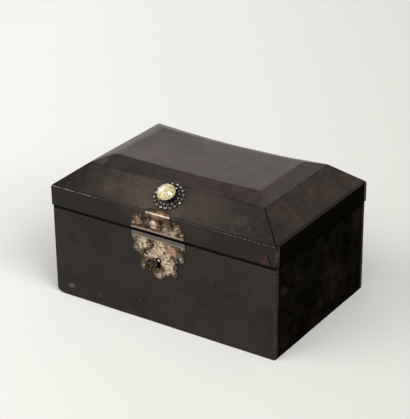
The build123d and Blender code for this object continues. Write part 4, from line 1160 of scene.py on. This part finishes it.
class CASKET_OT_lock_works(bpy.types.Operator):
    """Gives the works of the lock and the staple their steel finish"""

    bl_idname = "casket.lock_works"
    bl_label = "Lock works"

    def execute(self, context):
        steel = plain_metal("filed_steel_works", colour("#8f8b86"), 0.35, colour("#5a3c29"), 0.5)
        bright = plain_metal("bright_drill_pin", colour("#c9c4bc"), 0.22, colour("#6d5a4a"), 0.3)
        for name in (
            "lock_backplate", "lock_screws", "lock_guides", "lock_bolt", "lock_ward", "lock_spring",
            "lock_staple", "staple_screws",
        ):
            finish_node(name, steel)
        finish_node("lock_pin", bright)
        return {"FINISHED"}


class CASKET_OT_hinges(bpy.types.Operator):
    """Makes the two brass hinges with softened edges"""

    bl_idname = "casket.hinges"
    bl_label = "Hinges"

    def execute(self, context):
        sizes = context.scene.casket_metal
        brass = plain_metal("dull_brass_hinges", colour("#a98a55"), 0.38, colour("#4b3521"), 0.6)
        for side in ("left", "right"):
            for leaf, body in (("lower", "body"), ("upper", "lid")):
                node = f"{side}_hinge_{leaf}_leaf"
                shape = soft_copy(node, sizes.hinge_edge)
                place_piece(f"{node}_brass", shape, brass, body, (node,), 30.0)
        for name in ("hinge_pins", "lower_hinge_screws", "upper_hinge_screws"):
            finish_node(name, brass)
        return {"FINISHED"}


def jewel_frame(jewel, cover):
    """The matrix that lays a shape drawn flat at the origin on the front slope, at the boss's place."""
    half_y = -lid_front[0].y
    lean = math.atan2(cover.crease - cover.fold, half_y - cover.crease_y)
    up = Vector((0, math.cos(lean), math.sin(lean)))
    origin = Vector((jewel.across, -half_y, cover.fold)) + up * jewel.up_slope
    return Matrix.Translation(origin) @ Matrix.Rotation(lean, 4, "X")


def on_oval(radius, angle, level):
    """The matrix of a place on the boss's oval at an angle, turned to face outwards there."""
    across = radius * bpy.context.scene.casket_jewel.oval
    facing = math.atan2(across * math.sin(angle), radius * math.cos(angle))
    place = Matrix.Translation((across * math.cos(angle), radius * math.sin(angle), level))
    return place @ Matrix.Rotation(facing, 4, "Z")


def faceted_studs(count, ring, radius, height, level, seat):
    """An oval ring of cut studs with flat facets, each turned a little differently."""
    shape = bmesh.new()
    for i in range(count):
        stud = bmesh.ops.create_uvsphere(shape, u_segments=8, v_segments=8, radius=radius)["verts"]
        # the half that sits in the plate is pressed nearly flat
        lower = [v for v in stud if v.co.z < -1e-6]
        bmesh.ops.scale(shape, vec=(1, 1, height / radius), verts=stud)
        bmesh.ops.scale(shape, vec=(1, 1, 0.15), verts=lower)
        place = on_oval(ring, 2 * math.pi * i / count, level)
        spin = Matrix.Rotation(0.7 * i, 4, "Z") @ Matrix.Rotation(0.5 * math.sin(3.1 * i), 4, "X")
        bmesh.ops.transform(shape, matrix=seat @ place @ spin, verts=stud)
    return shape


def turned(points, seat):
    """A closed outline of (radius, height) points spun round the boss's axis, in 48 steps."""
    shape = bmesh.new()
    ring = [shape.verts.new((radius, 0, height)) for radius, height in points]
    edges = [shape.edges.new((ring[i], ring[(i + 1) % len(ring)])) for i in range(len(ring))]
    bmesh.ops.spin(
        shape, geom=ring + edges, cent=(0, 0, 0), axis=(0, 0, 1), dvec=(0, 0, 0),
        angle=2 * math.pi, steps=48, use_merge=True,
    )
    bmesh.ops.recalc_face_normals(shape, faces=shape.faces[:])
    bmesh.ops.scale(shape, vec=(bpy.context.scene.casket_jewel.oval, 1, 1), verts=shape.verts)
    bmesh.ops.transform(shape, matrix=seat, verts=shape.verts)
    return shape


class CASKET_OT_jewel(bpy.types.Operator):
    """Makes the boss: two rows of cut steel studs, the claw setting and the stone"""

    bl_idname = "casket.jewel"
    bl_label = "Jewelled boss"

    def execute(self, context):
        jewel = context.scene.casket_jewel
        cover = context.scene.casket_cover
        colours = context.scene.casket_colours
        seat = jewel_frame(jewel, cover)
        steel = plain_metal("cut_steel_studs", colours.steel, 0.12, colour("#1a1613"), 0.85)
        setting = claw_finish(seat)
        backing = plain_metal("tarnished_backplate", colour("#4c433c"), 0.5, colour("#191614"), 0.7)
        shape = faceted_studs(
            jewel.outer_count, jewel.outer_ring, jewel.outer_stud, jewel.outer_height,
            jewel.plate_top, seat,
        )
        place_piece("outer_cut_studs", shape, steel, "lid", ("jewel_outer_studs",), 0.0)
        shape = faceted_studs(
            jewel.inner_count, jewel.inner_ring, jewel.inner_stud, jewel.inner_height,
            jewel.step_top, seat,
        )
        place_piece("inner_cut_studs", shape, steel, "lid", ("jewel_inner_studs",), 0.0)
        shape = soft_copy("jewel_backplate", jewel.plate_edge)
        place_piece("boss_backplate", shape, backing, "lid", ("jewel_backplate",), 30.0)
        # the cup's outline: up its outside, over its lip, and down round the seat of the stone
        rim = jewel.step_top + jewel.rim_height
        lip = 0.4 * MM
        bore = jewel.stone + 0.05 * MM
        outline = (
            (jewel.foot - 0.8 * MM, jewel.step_top),
            (jewel.foot, jewel.step_top),
            (jewel.rim, rim - lip),
            (jewel.rim, rim + lip),
            (bore, rim + lip),
            (bore, rim),
            (jewel.stone - 2.2 * MM, rim - 2.4 * MM),
        )
        cup = turned(outline, seat)
        lean = Matrix.Rotation(-jewel.claw_lean, 4, "Y")
        for i in range(jewel.claws):
            claw = bmesh.ops.create_cone(
                cup, cap_ends=True, segments=7, radius1=jewel.claw_foot, radius2=jewel.claw_tip,
                depth=jewel.claw_length,
            )["verts"]
            place = on_oval(jewel.rim - 0.55 * MM, 2 * math.pi * i / jewel.claws, rim + 0.7 * MM)
            bmesh.ops.transform(cup, matrix=seat @ place @ lean, verts=claw)
        place_piece("claw_setting", cup, setting, "lid", ("jewel_setting",), 40.0)
        finish_node("jewel_stone", stone_finish(colours, seat))
        finish_node("jewel_nut", backing)
        return {"FINISHED"}


def softbox(name, place, size, power):
    """A square area lamp that faces the foot of the casket."""
    lamp = bpy.data.lights.new(name, "AREA")
    lamp.shape = "SQUARE"
    lamp.size = size
    lamp.energy = power
    made = bpy.data.objects.new(name, lamp)
    made.location = place
    made.rotation_euler = (-Vector(place)).to_track_quat("-Z", "Y").to_euler()
    bpy.context.scene.collection.objects.link(made)


class CASKET_OT_stage(bpy.types.Operator):
    """Makes the pale floor, the soft lamps and the camera at the photograph's angle"""

    bl_idname = "casket.stage"
    bl_label = "Stage"

    def execute(self, context):
        scene = context.scene
        stage = scene.casket_stage
        colours = scene.casket_colours
        shape = bmesh.new()
        bmesh.ops.create_grid(shape, x_segments=1, y_segments=1, size=6.0)
        mesh = bpy.data.meshes.new("floor")
        shape.to_mesh(mesh)
        shape.free()
        floor = bpy.data.objects.new("floor", mesh)
        scene.collection.objects.link(floor)
        material, tree, shader, where = surface("matt_paper_floor", colours.floor_painted_shade)
        # painted shade: the paper floor is drawn a little greyer to the right and towards the camera, for
        # the light that falls off there
        way = add(
            tree, "ShaderNodeVectorMath", {"operation": "DOT_PRODUCT"},
            values={1: (-0.249, -0.038, 0)}, links={0: where},
        ).outputs["Value"]
        lit = add(
            tree, "ShaderNodeMapRange",
            values={"From Min": -0.09, "From Max": 0.14}, links={"Value": way},
        ).outputs["Result"]
        coat(tree, shader, colours.floor, lit)
        shader.inputs["Roughness"].default_value = 0.95
        shader.inputs["Specular IOR Level"].default_value = 0.1
        mesh.materials.append(material)
        # places and sizes in metres
        softbox("front_left_light", (-3.2, -3.7, 4.0), 4.4, stage.key)
        softbox("right_light", (4.4, -1.7, 3.7), 3.6, stage.side)
        softbox("top_light", (1.0, -2.7, 5.0), 4.2, stage.top)
        softbox("small_light", (-0.7, -2.4, 1.6), 0.3, stage.glint)
        # the room lights evenly, but gloss shows a backdrop that is bright low down and dusky above
        world = bpy.data.worlds.new("pale_room")
        world.use_nodes = True
        scene.world = world
        room = world.node_tree
        room.nodes["Background"].inputs["Color"].default_value = colour("#f3f3ef")
        way = add(room, "ShaderNodeTexCoord").outputs["Generated"]
        steep = add(room, "ShaderNodeSeparateXYZ", links={0: way}).outputs["Z"]
        shown = add(
            room, "ShaderNodeMapRange", SMOOTH,
            values={"From Min": 0.4, "From Max": 0.75, "To Min": stage.backdrop, "To Max": stage.dusk},
            links={"Value": steep},
        ).outputs["Result"]
        rays = add(room, "ShaderNodeLightPath").outputs
        seen = add(
            room, "ShaderNodeMath", {"operation": "MAXIMUM"},
            links={0: rays["Is Glossy Ray"], 1: rays["Is Transmission Ray"]},
        ).outputs[0]
        seen = add(
            room, "ShaderNodeMath", {"operation": "MAXIMUM"}, links={0: seen, 1: rays["Is Camera Ray"]},
        ).outputs[0]
        strength = add(
            room, "ShaderNodeMix", values={"A": stage.room}, links={"Factor": seen, "B": shown},
        ).outputs["Result"]
        room.links.new(strength, room.nodes["Background"].inputs["Strength"])
        camera = bpy.data.objects.new("camera", bpy.data.cameras.new("camera"))
        camera.data.lens = stage.lens
        camera.data.sensor_width = 36.0
        camera.data.clip_start = 0.05
        camera.data.clip_end = 50.0
        turn = (
            Matrix.Rotation(stage.azimuth, 4, "Z")
            @ Matrix.Rotation(math.pi / 2 - stage.elevation, 4, "X")
            @ Matrix.Rotation(stage.roll, 4, "Z")
        )
        back = turn.to_3x3() @ Vector((0, 0, stage.distance))
        camera.matrix_world = Matrix.Translation(Vector(stage.aim) + back) @ turn
        scene.collection.objects.link(camera)
        scene.camera = camera
        scene.view_settings.view_transform = "Standard"
        return {"FINISHED"}


class CASKET_PT_pieces(bpy.types.Panel):
    """Lists the pieces of the casket"""

    bl_idname = "CASKET_PT_pieces"
    bl_label = "Casket"
    bl_space_type = "VIEW_3D"
    bl_region_type = "UI"
    bl_category = "Casket"

    def draw(self, context):
        for operator in OPERATORS:
            self.layout.operator(operator.bl_idname)


GROUPS = (
    ("casket_cover", CasketCoverSizes),
    ("casket_metal", CasketMetalSizes),
    ("casket_jewel", CasketJewelSizes),
    ("casket_colours", CasketColours),
    ("casket_stage", CasketStage),
)
OPERATORS = (
    CASKET_OT_stage,
    CASKET_OT_boards,
    CASKET_OT_body_leather,
    CASKET_OT_lid_leather,
    CASKET_OT_lock_works,
    CASKET_OT_lock_plates,
    CASKET_OT_hinges,
    CASKET_OT_jewel,
)


def register():
    """Registers the sizes, the operators and the panel."""
    for name, group in GROUPS:
        bpy.utils.register_class(group)
        setattr(bpy.types.Scene, name, bpy.props.PointerProperty(type=group))
    for operator in OPERATORS:
        bpy.utils.register_class(operator)
    bpy.utils.register_class(CASKET_PT_pieces)


def unregister():
    """Takes away what register put in, in the opposite order."""
    bpy.utils.unregister_class(CASKET_PT_pieces)
    for operator in reversed(OPERATORS):
        bpy.utils.unregister_class(operator)
    for name, group in reversed(GROUPS):
        delattr(bpy.types.Scene, name)
        bpy.utils.unregister_class(group)


def main():
    """Makes every piece and the stage."""
    register()
    for operator in OPERATORS:
        family, name = operator.bl_idname.split(".")
        getattr(getattr(bpy.ops, family), name)()


if __name__ == "__main__":
    main()
